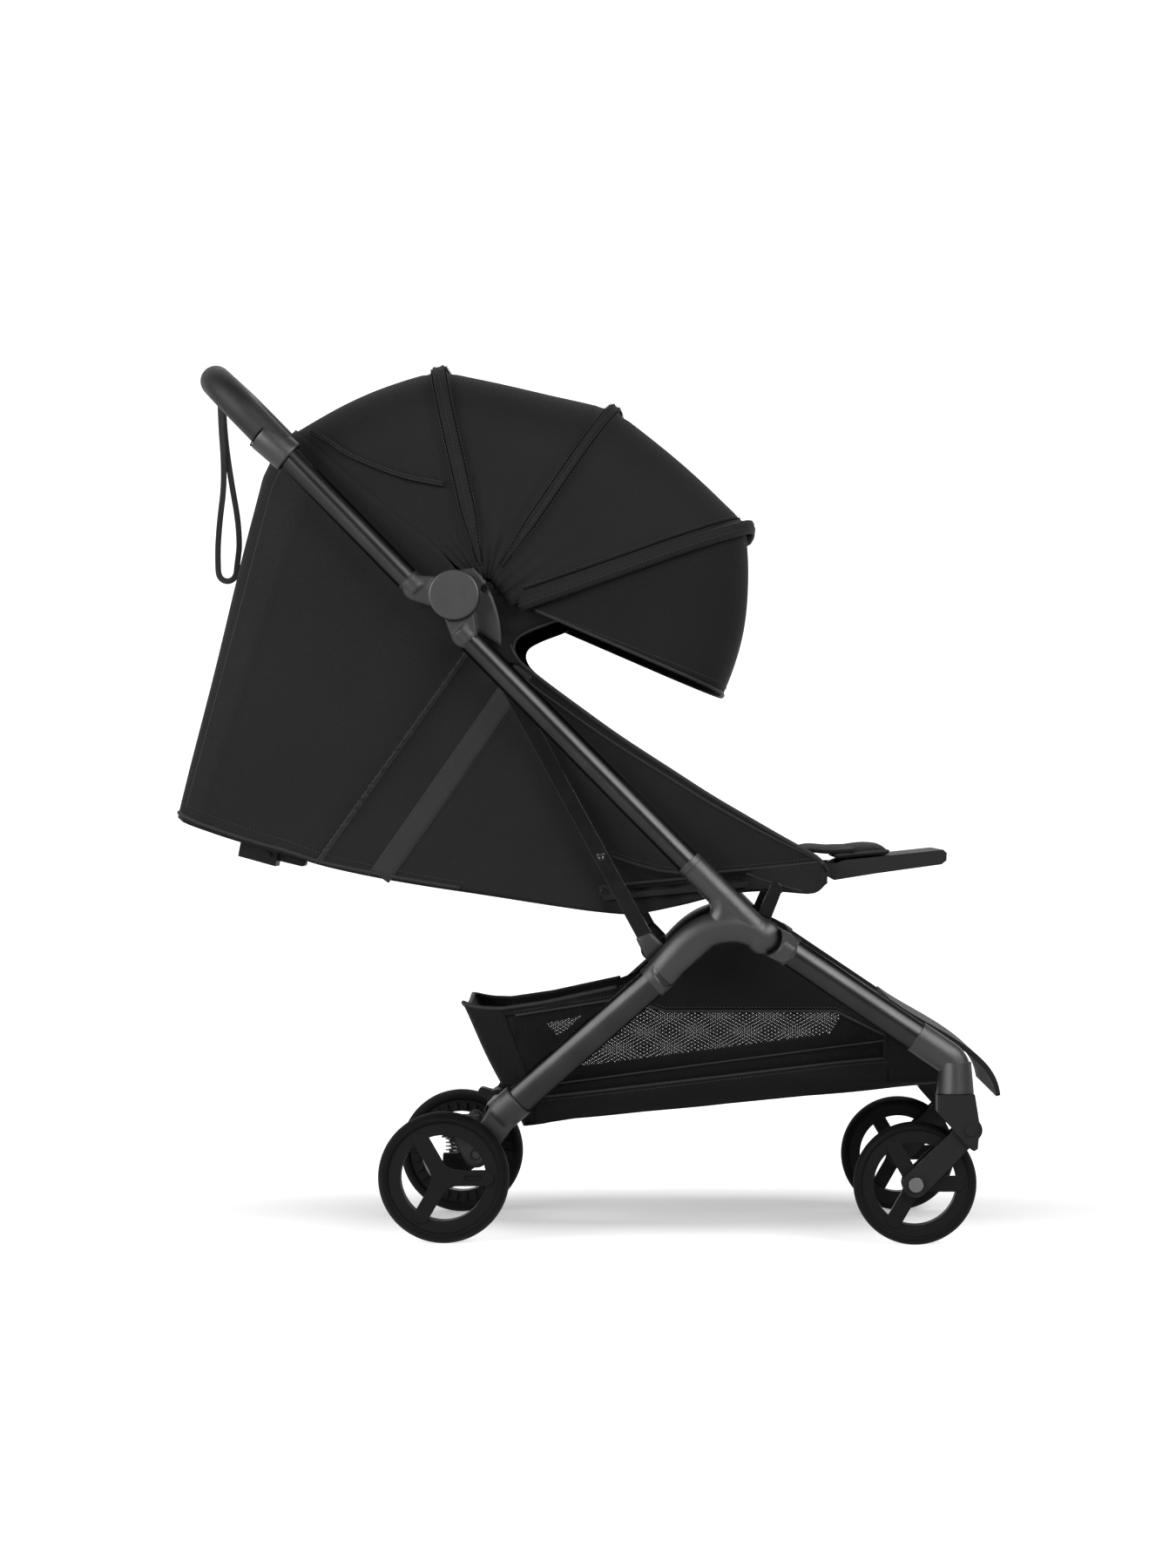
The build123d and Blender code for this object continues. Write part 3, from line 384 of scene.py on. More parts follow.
def loft(name, rings, material, uvs=True, caps=True):
    """closed tube through rings (n, k, 3)"""
    n, k = rings.shape[:2]
    i, j = np.meshgrid(np.arange(n - 1), np.arange(k), indexing="ij")
    a = (i * k + j).ravel()
    b = (i * k + (j + 1) % k).ravel()
    faces = [tuple(f) for f in np.stack([a, b, b + k, a + k], 1)]
    if caps:
        faces.append(tuple(range(k - 1, -1, -1)))
        faces.append(tuple((n - 1) * k + q for q in range(k)))
    d = np.r_[0, np.cumsum(np.linalg.norm(np.diff(rings.mean(1), axis=0), axis=1))]
    per = np.linalg.norm(np.diff(np.vstack([rings[0], rings[0][:1]]), axis=0), axis=1)
    v = np.r_[0, np.cumsum(per)][:k]
    U, V = np.meshgrid(d, v, indexing="ij")
    return add_obj(name, rings.reshape(-1, 3), faces, material, np.stack([U, V], 2).reshape(-1, 2))


def tube(name, pts, radius, material, seg=10):
    pts = np.asarray(pts, float)
    r = np.broadcast_to(np.asarray(radius, float), (len(pts),))
    _, s, nrm = frames(pts)
    a = np.linspace(0, 2 * math.pi, seg, endpoint=False)
    rings = pts[:, None] + r[:, None, None] * (np.cos(a)[None, :, None] * s[:, None] + np.sin(a)[None, :, None] * nrm[:, None])
    return loft(name, rings, material)


def ribbon(name, pts, side, width, thick, material):
    """flat webbing: side gives the direction of its width"""
    _, s, nrm = frames(pts, side)
    w = np.broadcast_to(np.asarray(width, float), (len(pts),))[:, None]
    h = thick / 2
    e = min(h * 0.8, 0.0006)
    prof = [(-0.5, -h + e, 0), (-0.5, h - e, 0), (-0.5, h, e), (-0.25, h * 1.04, 0), (0.0, h * 1.06, 0), (0.25, h * 1.04, 0), (0.5, h, -e), (0.5, h - e, 0),
            (0.5, -h + e, 0), (0.5, -h, -e), (0.25, -h, 0), (0.0, -h, 0), (-0.25, -h, 0), (-0.5, -h, e)]
    rings = np.stack([np.asarray(pts) + s * (w * a + c) + nrm * b for a, b, c in prof], 1)
    return loft(name, rings, material)


def stitches(name, pts, normal, material=None, pitch=0.0042, length=0.0028, r=0.00038, lift=0.0002):
    """a row of single thread stitches along a line"""
    p = resample(pts, pitch)
    nrm = np.asarray(normal, float)
    if nrm.ndim == 2:
        q = np.linspace(0, 1, len(p))
        src = np.linspace(0, 1, len(nrm))
        nrm = np.stack([np.interp(q, src, nrm[:, k]) for k in range(3)], 1)
    t, s, up = frames(p, np.cross(np.gradient(p, axis=0), np.broadcast_to(nrm, p.shape)))
    up = -up if (up * np.broadcast_to(nrm, p.shape)).sum() < 0 else up
    verts, faces = [], []
    ring = [(1, 0), (0.5, 0.9), (-0.5, 0.9), (-1, 0), (-0.5, -0.6), (0.5, -0.6)]
    for c, tt, ss, uu in zip(p, t, s, up):
        b = len(verts)
        for f, k in ((-0.5, 0.35), (-0.3, 1.0), (0.3, 1.0), (0.5, 0.35)):
            for x, y in ring:
                verts.append(c + tt * length * f + ss * r * k * x + uu * (r * k * y + lift))
        for a in range(3):
            for j in range(6):
                j2 = (j + 1) % 6
                faces.append((b + a * 6 + j, b + a * 6 + j2, b + a * 6 + 6 + j2, b + a * 6 + 6 + j))
        faces.append(tuple(b + q for q in range(5, -1, -1)))
        faces.append(tuple(b + 18 + q for q in range(6)))
    return add_obj(name, verts, faces, material or M_THREAD)


def mirrored(o, name):
    """a copy on the other side of the middle plane"""
    me = o.data.copy()
    co = np.zeros(len(me.vertices) * 3, np.float32)
    me.vertices.foreach_get("co", co)
    co = co.reshape(-1, 3)
    co[:, 1] *= -1
    me.vertices.foreach_set("co", co.ravel())
    me.flip_normals()
    me.update()
    q = bpy.data.objects.new(name, me)
    scene.collection.objects.link(q)
    for md in o.modifiers:
        k = q.modifiers.new(md.name, md.type)
        if md.type == "SOLIDIFY":
            k.thickness, k.offset = md.thickness, md.offset
        elif md.type == "SUBSURF":
            k.levels, k.render_levels = md.levels, md.render_levels
    return q


def points_of(o):
    co = np.zeros(len(o.data.vertices) * 3, np.float32)
    o.data.vertices.foreach_get("co", co)
    return co.reshape(-1, 3).astype(float)


def weigh(o, w):
    """bakes o's placement into its points; w, one weight for each point, is not used"""
    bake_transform(o)
    return o


def declare(o):
    """reads the flat coordinates of a sheet and does nothing more with them"""
    uv = np.zeros(len(o.data.loops) * 2, np.float32)
    o.data.uv_layers[0].data.foreach_get("uv", uv)


def angle_about(p, c):
    return np.degrees(np.arctan2(p[:, 2] - c[1], p[:, 0] - c[0]))


# ---------------------------------------------------------------- the hard parts
def dress(names, material):
    for n in names:
        o = NODES[n]
        if not o.material_slots:
            o.data.materials.append(material)
        for s in o.material_slots:
            s.link = "OBJECT"
            s.material = material
        o.data.polygons.foreach_set("use_smooth", [True] * len(o.data.polygons))
        md = o.modifiers.new("edges", "EDGE_SPLIT")
        md.split_angle = math.radians(32)


SIDES = ("right", "left")
dress(["upper_tubes", "handle_tubes", "rear_leg_tubes", "front_leg_tubes", "rear_crossbar", "rear_hoop", "bow_rear", "bow_middle", "bow_front"], M_TUBE)
dress(["y_joints", "front_leg_brackets", "front_elbows", "shoulder_caps"], M_PLASTIC)
dress(["knuckles_lower", "knuckles_upper", "rear_hubs"], M_KNUCKLE)
dress([f"caster_housing_{s}" for s in SIDES] + [f"swing_arm_{s}" for s in SIDES], M_DARK)
dress(["rear_axle_beam", "brake_pedal", "footplate", "seat_pan", "backrest_board", "recline_clip", "recline_lever", "footrest_frame", "harness_buckle", "buckle_button", "fold_button"], M_DARK)
dress([f"front_wheel_{s}" for s in SIDES] + [f"rear_wheel_{s}" for s in SIDES], M_WHEEL)
dress([f"front_tyre_{s}" for s in SIDES] + [f"rear_tyre_{s}" for s in SIDES], M_TYRE)
dress(["pivot_pins"], M_ENAMEL)
dress([f"front_axle_{s}" for s in SIDES], M_STEEL)
dress(["rear_springs"] + [f"caster_spring_{s}" for s in SIDES], M_SPRING)
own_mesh(NODES["rear_springs"])
dress(["seat_stays"], M_ENAMEL)
dress(["handle_grip"], M_GRIP)

# moulded boots at the lower ends of the seat stays, and the rivets on them
BOOT = [(0.0570, 0.3520), (0.0745, 0.3600), (0.0900, 0.3440), (0.0700, 0.3262)]
for sgn, nm in ((-1, "right"), (1, "left")):
    v = [(x, sgn * y, z) for y in (0.1665, 0.1768) for x, z in BOOT]
    f = [(3, 2, 1, 0), (4, 5, 6, 7)] + [(k, (k + 1) % 4, 4 + (k + 1) % 4, 4 + k) for k in range(4)]
    o = add_obj(f"stay_boot_{nm}", v, f if sgn < 0 else [q[::-1] for q in f], M_KNUCKLE)
    bv = o.modifiers.new("round", "BEVEL")
    bv.width = 0.0026
    bv.segments = 4
    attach(o, "chassis")
    a = np.linspace(0, 2 * math.pi, 28, endpoint=False)
    rings = np.stack([np.stack([0.0171 + r * np.cos(a), np.full(28, sgn * y), 0.4465 + r * np.sin(a)], 1)
                      for r, y in ((0.0050, 0.1748), (0.0052, 0.1752), (0.0050, 0.1760), (0.0040, 0.1765), (0.0030, 0.1763), (0.0022, 0.1758), (0.0012, 0.1757))])
    o = loft(f"stay_rivet_{nm}", rings if sgn < 0 else rings[:, ::-1], M_ENAMEL)
    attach(o, "chassis")

# ---------------------------------------------------------------- wrist strap
tt = np.gradient(STRAP_PTS, axis=0)
tt /= np.linalg.norm(tt, axis=1)[:, None]
across = np.cross(tt, [0, 1.0, 0])
across /= np.linalg.norm(across, axis=1)[:, None]
tw = np.linspace(0, 1, len(STRAP_PTS))
side = across + np.array([0, 0.35, 0]) * np.sin(2 * math.pi * tw)[:, None]
strap = ribbon("wrist_loop", STRAP_PTS, side, 0.0070, 0.0015, M_WEB)
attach(strap, "handle")
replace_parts(strap, "wrist_strap")
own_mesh(strap)

# grip collars: a moulded sleeve at each end of the grip, with a near-black ring above it, painted shade standing for a
# groove
gm = NODES["handle_grip"].data
gco = np.zeros(len(gm.vertices) * 3, np.float32)
gm.vertices.foreach_get("co", gco)
gco = gco.reshape(-1, 3).astype(float)
HU = np.array([-0.7605, 0.0, 0.6493])
HN = np.array([0.6493, 0.0, 0.7605])
for sgn, nm in ((-1, "right"), (1, "left")):
    part = gco[gco[:, 1] * sgn > 0.150]
    along_u = part @ HU
    end = along_u.min()
    tip = part[along_u < end + 0.004]
    c = (tip.max(0) + tip.min(0)) / 2
    rad = np.linalg.norm((tip - c) - ((tip - c) @ HU)[:, None] * HU, axis=1).max()
    c = c - HU * (c @ HU - end)
    a = np.linspace(0, 2 * math.pi, 48, endpoint=False)
    rings = np.stack([c + HU * u + (rad + d) * (np.cos(a)[:, None] * np.array([0, 1.0, 0]) + np.sin(a)[:, None] * HN)
                      for u, d in ((-0.0006, -0.0020), (-0.0006, 0.0002), (0.0002, 0.0009), (0.0022, 0.0011), (0.0200, 0.0011), (0.0385, 0.0011), (0.0405, 0.0008), (0.0412, 0.0002), (0.0412, -0.0020))])
    o = loft(f"grip_collar_{nm}", np.concatenate([rings, rings[:1]]), M_PLASTIC, caps=False)
    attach(o, "handle")
    # painted shade: this thin near-black ring stands for the shadow of a groove
    ring = np.stack([c + HU * 0.0424 + (rad + 0.0002) * (math.cos(t) * np.array([0, 1.0, 0]) + math.sin(t) * HN) for t in np.linspace(0, 2 * math.pi, 49)])
    o = tube(f"grip_ring_{nm}", np.vstack([ring, ring[1:2]]), 0.0009, M_SEAM_SHADE, 6)
    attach(o, "handle")

# ---------------------------------------------------------------- canopy
K = (-0.1164, 0.7562)
W = 0.168
# angle, reach, start radius; the front hem also runs below the pivot
BOWS = [(140.0, 0.296, 0.018), (102.7, 0.2690, 0.013), (55.6, 0.2620, 0.013), (14.4, 0.316, 0.024, W, 0.080, 0.006, 0.0265)]


def section(theta, R, low, w=W, c=0.080, crown=0.006, dip=0.0):
    """cross-section of the canopy in the plane of a bow: points and outward normals"""
    r1 = np.linspace(low, R - c, 26)
    a = np.linspace(0, math.pi / 2, 15)[1:]
    y3 = np.linspace(-(w - c), 0, 12)[1:]
    y = np.r_[np.full(26, -w), -(w - c) - c * np.cos(a), y3]
    r = np.r_[r1, R - c + c * np.sin(a), np.full(11, R)]
    ny = np.r_[np.full(26, -1.0), -np.cos(a), np.zeros(11)]
    nr = np.r_[np.zeros(26), np.sin(a), np.ones(11)]
    r = r - crown * (y / w) ** 2 * sstep(low, R, r)
    y = np.r_[y, -y[-2::-1]]
    r = np.r_[r, r[-2::-1]]
    ny = np.r_[ny, -ny[-2::-1]]
    nr = np.r_[nr, nr[-2::-1]]
    d = (math.cos(math.radians(theta)), math.sin(math.radians(theta)))
    off = dip * np.clip((R - r) / (R - low), 0, 1)
    P = np.stack([K[0] + d[0] * r + d[1] * off, y, K[1] + d[1] * r - d[0] * off], 1)
    N = np.stack([d[0] * nr, ny, d[1] * nr], 1)
    return P, N, r


def canopy_patch(name, a, b, n, sag, arc=0.0, seed=1, material=None, sleeve=(1, 1)):
    Pa, Na, ra = section(*a)
    Pb, Nb, rb = section(*b)
    # samples crowd towards the bows
    t = 0.5 - 0.5 * np.cos(np.linspace(0, math.pi, n))
    T = t[:, None, None]
    P = Pa[None] * (1 - T) + Pb[None] * T
    N = Na[None] * (1 - T) + Nb[None] * T
    N /= np.linalg.norm(N, axis=2)[:, :, None]
    span = np.linalg.norm(Pb - Pa, axis=1)
    da = T[:, :, 0] * span[None]
    db = (1 - T[:, :, 0]) * span[None]
    room = np.clip(span[None] / 0.045, 0, 1)
    h = np.zeros(P.shape[:2])
    for d, on in ((da, sleeve[0]), (db, sleeve[1])):
        if on:
            h += room * (0.0022 * np.exp(-(d / 0.0070) ** 2) - 0.0013 * np.exp(-((d - 0.0135) / 0.0045) ** 2))
    R = np.sqrt((P[:, :, 0] - K[0]) ** 2 + (P[:, :, 2] - K[1]) ** 2)
    taut = np.sin(math.pi * T[:, :, 0])
    up = np.clip(N[:, :, 0] ** 2 + N[:, :, 2] ** 2, 0, 1)
    h += -taut * (sag[0] * up + sag[1] * (1 - up)) * sstep(0.03, 0.16, R)
    h += taut * arc * up
    # soft gathers that run out from the pivot, and loose waviness
    h += taut * 0.0016 * np.exp(-(R - 0.03) / 0.055) * np.cos(2 * math.pi * 4.0 * T[:, :, 0] + seed)
    h += taut * 0.0009 * ripple(P.reshape(-1, 3), 7.0, seed).reshape(h.shape)
    P = P + N * h[:, :, None]
    o = sheet_obj(name, P, material or M_CLOTH, 0.0016, flip=False)
    return o, P, N


def canopy_weights(o, i):
    th = angle_about(points_of(o), K)
    a, b = BOWS[i][0], BOWS[i + 1][0]
    return np.clip((a - th) / (a - b), 0, 1)


canopy_edges = []
for i, (nm, sag, arc) in enumerate((("canopy_rear_cloth", (0.0, 0.003), 0.0085), ("canopy_middle_cloth", (0.001, 0.004), 0.002), ("canopy_front_cloth", (0.003, 0.004), 0.007))):
    o, P, N = canopy_patch(nm, BOWS[i], BOWS[i + 1], 34, sag, arc, seed=11 + i, sleeve=(i > 0, 1))
    weigh(o, canopy_weights(o, i))
    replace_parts(o, ("canopy_rear", "canopy_middle", "canopy_front")[i])
    declare(o)
    canopy_edges.append((P, N))

# each bow runs in a sewn casing: a raised band with two ridges, a near-black line of painted shade along each edge
# where the seam groove falls into shadow, and a stitch row on each side
for i, body, half, rise in ((1, "bow_rear", 0.0078, 0.0036), (2, "bow_middle", 0.0056, 0.0040)):
    P, N = canopy_edges[i - 1][0][-1], canopy_edges[i - 1][1][-1]
    th = math.radians(BOWS[i][0])
    tdir = np.array([-math.sin(th), 0, math.cos(th)])
    line = resample(P[2:-2], 0.005)
    q = np.linspace(0, 1, len(line))
    nl = np.stack([np.interp(q, np.linspace(0, 1, len(N) - 4), N[2:-2][:, k]) for k in range(3)], 1)
    nl /= np.linalg.norm(nl, axis=1)[:, None]
    rr = np.hypot(line[:, 0] - K[0], line[:, 2] - K[1])
    wf = np.clip((rr - 0.006) / 0.085, 0.16, 1.0)[:, None]
    hf = np.clip((rr - 0.020) / 0.050, 0.15, 1.0)[:, None]
    prof = [(-1.0, -0.10), (-0.98, 0.35), (-0.86, 0.80), (-0.66, 1.0), (-0.40, 0.78), (-0.15, 0.62), (0.15, 0.62), (0.40, 0.78), (0.66, 1.0), (0.86, 0.80), (0.98, 0.35), (1.0, -0.10), (0.5, -0.35), (-0.5, -0.35)]
    pucker = 1 + 0.05 * np.sin(np.arange(len(line)) * 2.1 + 3 * np.sin(np.arange(len(line)) * 0.37))[:, None]
    rings = np.stack([line + tdir * (half * a) * wf + nl * (rise * b) * hf * pucker for a, b in prof], 1)
    o = loft(f"{body}_casing", rings, M_CLOTH)
    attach(o, body)
    for k, sg in enumerate((-1, 1)):
        far = wf[:, 0] > 0.5
        # painted shade: a near-black line along this edge of the casing stands for the shadow in the seam groove
        o = tube(f"{body}_seam_{'ab'[k]}", (line + tdir * sg * (half + 0.0004) * wf + nl * 0.0004)[1:-1], 0.0009, M_SEAM_SHADE, 6)
        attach(o, body)
        st = stitches(f"{body}_stitch_{'ab'[k]}", (line + tdir * sg * (half + 0.0016) * wf + nl * 0.0014)[far], nl[far])
        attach(st, body)
# a stitch row along the crest of each casing
for i, body in ((1, "bow_rear"), (2, "bow_middle")):
    P, N = canopy_edges[i - 1][0][-1], canopy_edges[i - 1][1][-1]
    keep = slice(8, len(P) - 8)
    o = stitches(f"{body}_crest_stitch", P[keep] + N[keep] * 0.0024, N[keep])
    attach(o, body)

# yoke seam on both sides of the rear part, with a near-black line of painted shade along its lower edge for the shadow
# under the seam
yoke = smooth_line([(-0.3225, 0.9405), (-0.2985, 0.9275), (-0.2712, 0.9102), (-0.2147, 0.8880), (-0.1650, 0.8775)], 60)
for sgn, nm in ((-1, "right"), (1, "left")):
    y = np.full(len(yoke), sgn * (W + 0.0002))
    dist = np.hypot(yoke[:, 0] - K[0], yoke[:, 1] - K[1])
    y = np.where(dist > 0.216, sgn * (W - 0.08 + np.sqrt(np.clip(0.08 ** 2 - (dist - 0.216) ** 2, 0, None))), y)
    line = np.stack([yoke[:, 0], y, yoke[:, 1]], 1)
    o = ribbon(f"yoke_seam_{nm}", line + np.array([0, sgn * 0.0006, 0]), np.array([-0.22, 0, 0.975]), 0.0064, 0.0016, M_CLOTH)
    weigh(o, canopy_weights(o, 0))
    # painted shade: a near-black line along the seam's lower edge for the shadow under it
    o = tube(f"yoke_line_{nm}", line + np.array([-0.22, 0, 0.975]) * -0.0035 + np.array([0, sgn * 0.0004, 0]), 0.0009, M_SEAM_SHADE, 6)
    weigh(o, canopy_weights(o, 0))
    for k, dz in enumerate((-0.0021, 0.0021)):
        o = stitches(f"yoke_stitch_{nm}_{'ab'[k]}", line + np.array([-0.22, 0, 0.975]) * dz + np.array([0, sgn * 0.0015, 0]), np.tile([0, sgn, 0.0], (len(line), 1)))
        weigh(o, canopy_weights(o, 0))

# sun visor: a stiff convex peak that hangs from the front bow
VN = 26
vis_th = np.linspace(14.0, -23.4, VN)
rows, nrows = [], []
for q, th in enumerate(vis_th):
    f = q / (VN - 1)
    R = np.interp(th, [-23.4, -8.4, 10.7, 14.4], [0.300, 0.3055, 0.3110, 0.3125])
    low = np.interp(f, [0, 0.3, 1], [0.030, 0.034, 0.056])
    P, N, r = section(th, R, low, w=W - 0.0022, c=0.080, dip=0.0275 * (1 - f) ** 1.2)
    rows.append(P)
    nrows.append(N)
VP, VNR = np.array(rows), np.array(nrows)
fv = np.linspace(0, 1, VN)[:, None]
VP = VP + VNR * (0.0014 * ripple(VP.reshape(-1, 3), 6.0, 31).reshape(VP.shape[:2]) * np.sin(math.pi * fv) - 0.003 * np.sin(math.pi * fv))[:, :, None]
visor = sheet_obj("sun_visor_cloth", VP, M_LINING, 0.0016)


def visor_weights(o):
    th = angle_about(points_of(o), K)
    return np.clip((14.4 - th) / 10.0, 0, 1)


weigh(visor, visor_weights(visor))
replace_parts(visor, "sun_visor")
declare(visor)
edge = VP[-1] + VNR[-1] * 0.0002
o = tube("visor_binding", resample(edge[1:-1], 0.006), 0.0021, M_BIND, 10)
weigh(o, visor_weights(o))
o = stitches("visor_stitch", (VP[-2] * 0.75 + VP[-3] * 0.25)[2:-2], VNR[-2][2:-2])
weigh(o, visor_weights(o))

# front rim: a thick rolled hem over the front bow, with a flat lip under it
Pf, Nf = canopy_edges[2][0][-1], canopy_edges[2][1][-1]
rim_d = np.array([math.cos(math.radians(14.4)), 0, math.sin(math.radians(14.4))])
rim_t = np.array([-rim_d[2], 0, rim_d[0]])
line = resample(Pf[1:-1] + Nf[1:-1] * 0.0010, 0.006)
nn = np.stack([np.interp(np.linspace(0, 1, len(line)), np.linspace(0, 1, len(Nf) - 2), Nf[1:-1][:, q]) for q in range(3)], 1)
nn /= np.linalg.norm(nn, axis=1)[:, None]
prof = [(0.0, 0.0062), (0.0034, 0.0050), (0.0046, 0.0015), (0.0040, -0.0030), (0.0026, -0.0085), (0.0006, -0.0105), (-0.0016, -0.0090), (-0.0030, -0.0030), (-0.0034, 0.0020), (-0.0024, 0.0052)]
rings = np.stack([line + nn * a + rim_t * b for a, b in prof], 1)
o = loft("front_rim", rings, M_CLOTH)
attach(o, "bow_front")
o = stitches("front_rim_stitch", line + nn * 0.0040 - rim_t * 0.0035, nn)
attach(o, "bow_front")
up_row = []
up_nrm = []
for jx in range(3, canopy_edges[2][0].shape[1] - 3):
    col = canopy_edges[2][0][::-1, jx]
    d = np.r_[0, np.cumsum(np.linalg.norm(np.diff(col, axis=0), axis=1))]
    if d[-1] < 0.030:
        continue
    up_row.append([np.interp(0.0150, d, col[:, q]) for q in range(3)])
    up_nrm.append(canopy_edges[2][1][-1, jx])
up_row, up_nrm = np.array(up_row), np.array(up_nrm)
# painted shade: the hem seam is a near-black line standing for the shadow in the seam groove
o = tube("hem_seam", resample(up_row + up_nrm * 0.0003, 0.005), 0.0009, M_SEAM_SHADE, 6)
weigh(o, canopy_weights(o, 2))
o = stitches("hem_seam_stitch", up_row + up_nrm * 0.0006 + rim_t * 0.0032, up_nrm)
weigh(o, canopy_weights(o, 2))

# ---------------------------------------------------------------- seat shell
Q = (0.020, 0.404)
HD = (math.cos(math.radians(140.0)), math.sin(math.radians(140.0)))


def hoop(r):
    return (K[0] + HD[0] * r, K[1] + HD[1] * r)


TOP = [hoop(0.216), hoop(0.166), hoop(0.116), hoop(0.070), (-0.1300, 0.7520), (-0.1079, 0.7258), (-0.0930, 0.7040), (-0.0805, 0.6775), (-0.0560, 0.6555), (-0.0100, 0.6210),
       (0.0400, 0.5850), (0.1000, 0.5457), (0.1450, 0.5166), (0.1900, 0.4900), (0.2200, 0.4724), (0.2440, 0.4588), (0.2580, 0.4512), (0.2680, 0.4450), (0.2745, 0.4378), (0.2790, 0.4300)]
BOT = [(-0.4500, 0.4790), (-0.4150, 0.4670), (-0.3820, 0.4570), (-0.3540, 0.4495), (-0.3330, 0.4430), (-0.3130, 0.4370), (-0.2860, 0.4310), (-0.2550, 0.4250), (-0.2240, 0.4195), (-0.1720, 0.4110),
       (-0.1100, 0.4015), (-0.0340, 0.3895), (0.0150, 0.3825), (0.0560, 0.3800), (0.1060, 0.3900), (0.1560, 0.4030), (0.2040, 0.4080), (0.2400, 0.4045), (0.2640, 0.4035), (0.2800, 0.4150)]
NI = len(TOP) - 1
NC = 191
Tc, Bc = smooth_line(TOP, NC), smooth_line(BOT, NC)
LEV = 60
lev = np.linspace(0, 1, LEV)
REAR_TOP = np.array(hoop(0.296))
REAR_BOT = np.array((-0.4785, 0.4915))


def rear_bulge(t):
    return 0.021 * np.interp(t, [0, 0.2, 0.5, 0.72, 0.86, 0.94, 1.0], [0, 0.22, 0.58, 0.86, 1.0, 0.72, 0.0])


BUL = np.array((-0.93, 0.36))


def low_seam(x):
    """height of the seam between the side and the lower part of the seat"""
    return np.interp(x, [0.010, 0.0328, 0.060, 0.085, 0.1118, 0.1533, 0.209, 0.2707, 0.290], [0.4560, 0.4452, 0.4360, 0.4295, 0.4262, 0.4278, 0.4330, 0.4397, 0.4415])


def half_shell():
    """points of the right half, from the front edge to the middle of the back: (columns, levels, 3)"""
    cols = []
    for c in range(NC - 1, -1, -1):
        u = c / (NC - 1)
        f = 1 - sstep(0.0, 5 / NI, u)
        xz = Bc[c][None] * (1 - lev[:, None]) + Tc[c][None] * lev[:, None] + (rear_bulge(lev) * f ** 1.5)[:, None] * BUL
        w_top = 0.168 - 0.017 * sstep(3.3 / NI, 6.3 / NI, u)
        y = 0.150 + (w_top - 0.150) * lev ** 1.4
        y = y - 0.0045 * np.sin(math.pi * lev) * (1 - 0.6 * f) - 0.010 * sstep(0.93, 1.0, u)
        # below the lower seam the cloth tucks in under the seat, and swells into a pouch at the front
        d = low_seam(xz[:, 0]) - xz[:, 1]
        tuck = sstep(0.0, 0.009, d) * sstep(0.010, 0.050, xz[:, 0]) * (1 - sstep(0.176, 0.196, xz[:, 0]))
        fold = np.sin(2 * math.pi * (xz[:, 0] * 26.0 + 4.0 * d)) * sstep(0.004, 0.022, d)
        y = y - tuck * (0.0070 - 0.0016 * fold)
        pouch = sstep(0.188, 0.206, xz[:, 0]) * (1 - sstep(0.268, 0.284, xz[:, 0])) * np.clip(d / 0.030, 0, 1) ** 0.5 * np.clip(1 - d / 0.046, 0, 1) ** 0.35 * (d > 0)
        y = y + 0.0085 * pouch
        cols.append(np.stack([xz[:, 0], -y, xz[:, 1]], 1))
    for phi in np.linspace(0, math.pi / 2, 15)[1:]:
        e = 1 - math.sin(phi)
        rho = 0.034 + 0.046 * lev ** 1.3
        top = np.array(hoop(0.296 - 0.080 * e))
        bot = REAR_BOT * (1 - e) + np.array(BOT[0]) * e
        xz = bot[None] * (1 - lev[:, None]) + top[None] * lev[:, None] + rear_bulge(lev)[:, None] * BUL
        y = (0.150 + 0.018 * lev ** 1.4) - rho + rho * math.cos(phi)
        cols.append(np.stack([xz[:, 0], -y, xz[:, 1]], 1))
    last = cols[-1]
    for s in np.linspace(1, 0, 14)[1:]:
        q = last.copy()
        q[:, 1] *= s
        cols.append(q)
    return np.array(cols)


H = half_shell()
SH = np.concatenate([H, H[-2::-1] * np.array([1, -1, 1])[None, None]], 0)
# loose waviness, and gathers along the elastic seam
pts = SH.reshape(-1, 3)
nrm = np.cross(np.gradient(SH, axis=0), np.gradient(SH, axis=1)).reshape(-1, 3)
nrm /= np.linalg.norm(nrm, axis=1)[:, None] + 1e-12
seam_c = 5 / NI
colu = np.r_[np.linspace(1, 0, NC), np.full(len(H) - NC, -0.2)]
colu = np.r_[colu, colu[-2::-1]]
levm = np.broadcast_to(lev[None], SH.shape[:2])
edge_free = (np.sin(math.pi * levm) ** 0.6)
wav = 0.0012 * ripple(pts, 4.5, 5).reshape(SH.shape[:2])
dist_seam = (colu[:, None] - seam_c) * 0.785
gath = 0.0016 * np.exp(-(dist_seam / 0.016) ** 2) * np.sin(levm * 2 * math.pi * 30 + 3 * np.sin(levm * 17))
gath += -0.0022 * np.exp(-(dist_seam / 0.006) ** 2)
SH = SH + (nrm.reshape(SH.shape) * (edge_free * (wav + gath))[:, :, None])
shell = sheet_obj("seat_shell", SH, M_CLOTH2, 0.0018, offset=0.0)


def seat_weights(p):
    """weights for each point: high near the backrest, falling to 0 towards the frame above"""
    th = 169.5 - angle_about(p, Q)
    th = np.where(th < -180, th + 360, th)
    r = np.hypot(p[:, 0] - Q[0], p[:, 2] - Q[1])
    w = np.interp(th, [0.0, 41.0, 52.0, 64.0], [1.0, 0.18, 0.05, 0.0])
    w = np.where(th < 0, 1.0, w)
    return w * sstep(0.0, 0.09, np.where(p[:, 0] < Q[0], r, 0.0))


weigh(shell, seat_weights(points_of(shell)))
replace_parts(shell, "side_panels", "back_panel")
declare(shell)

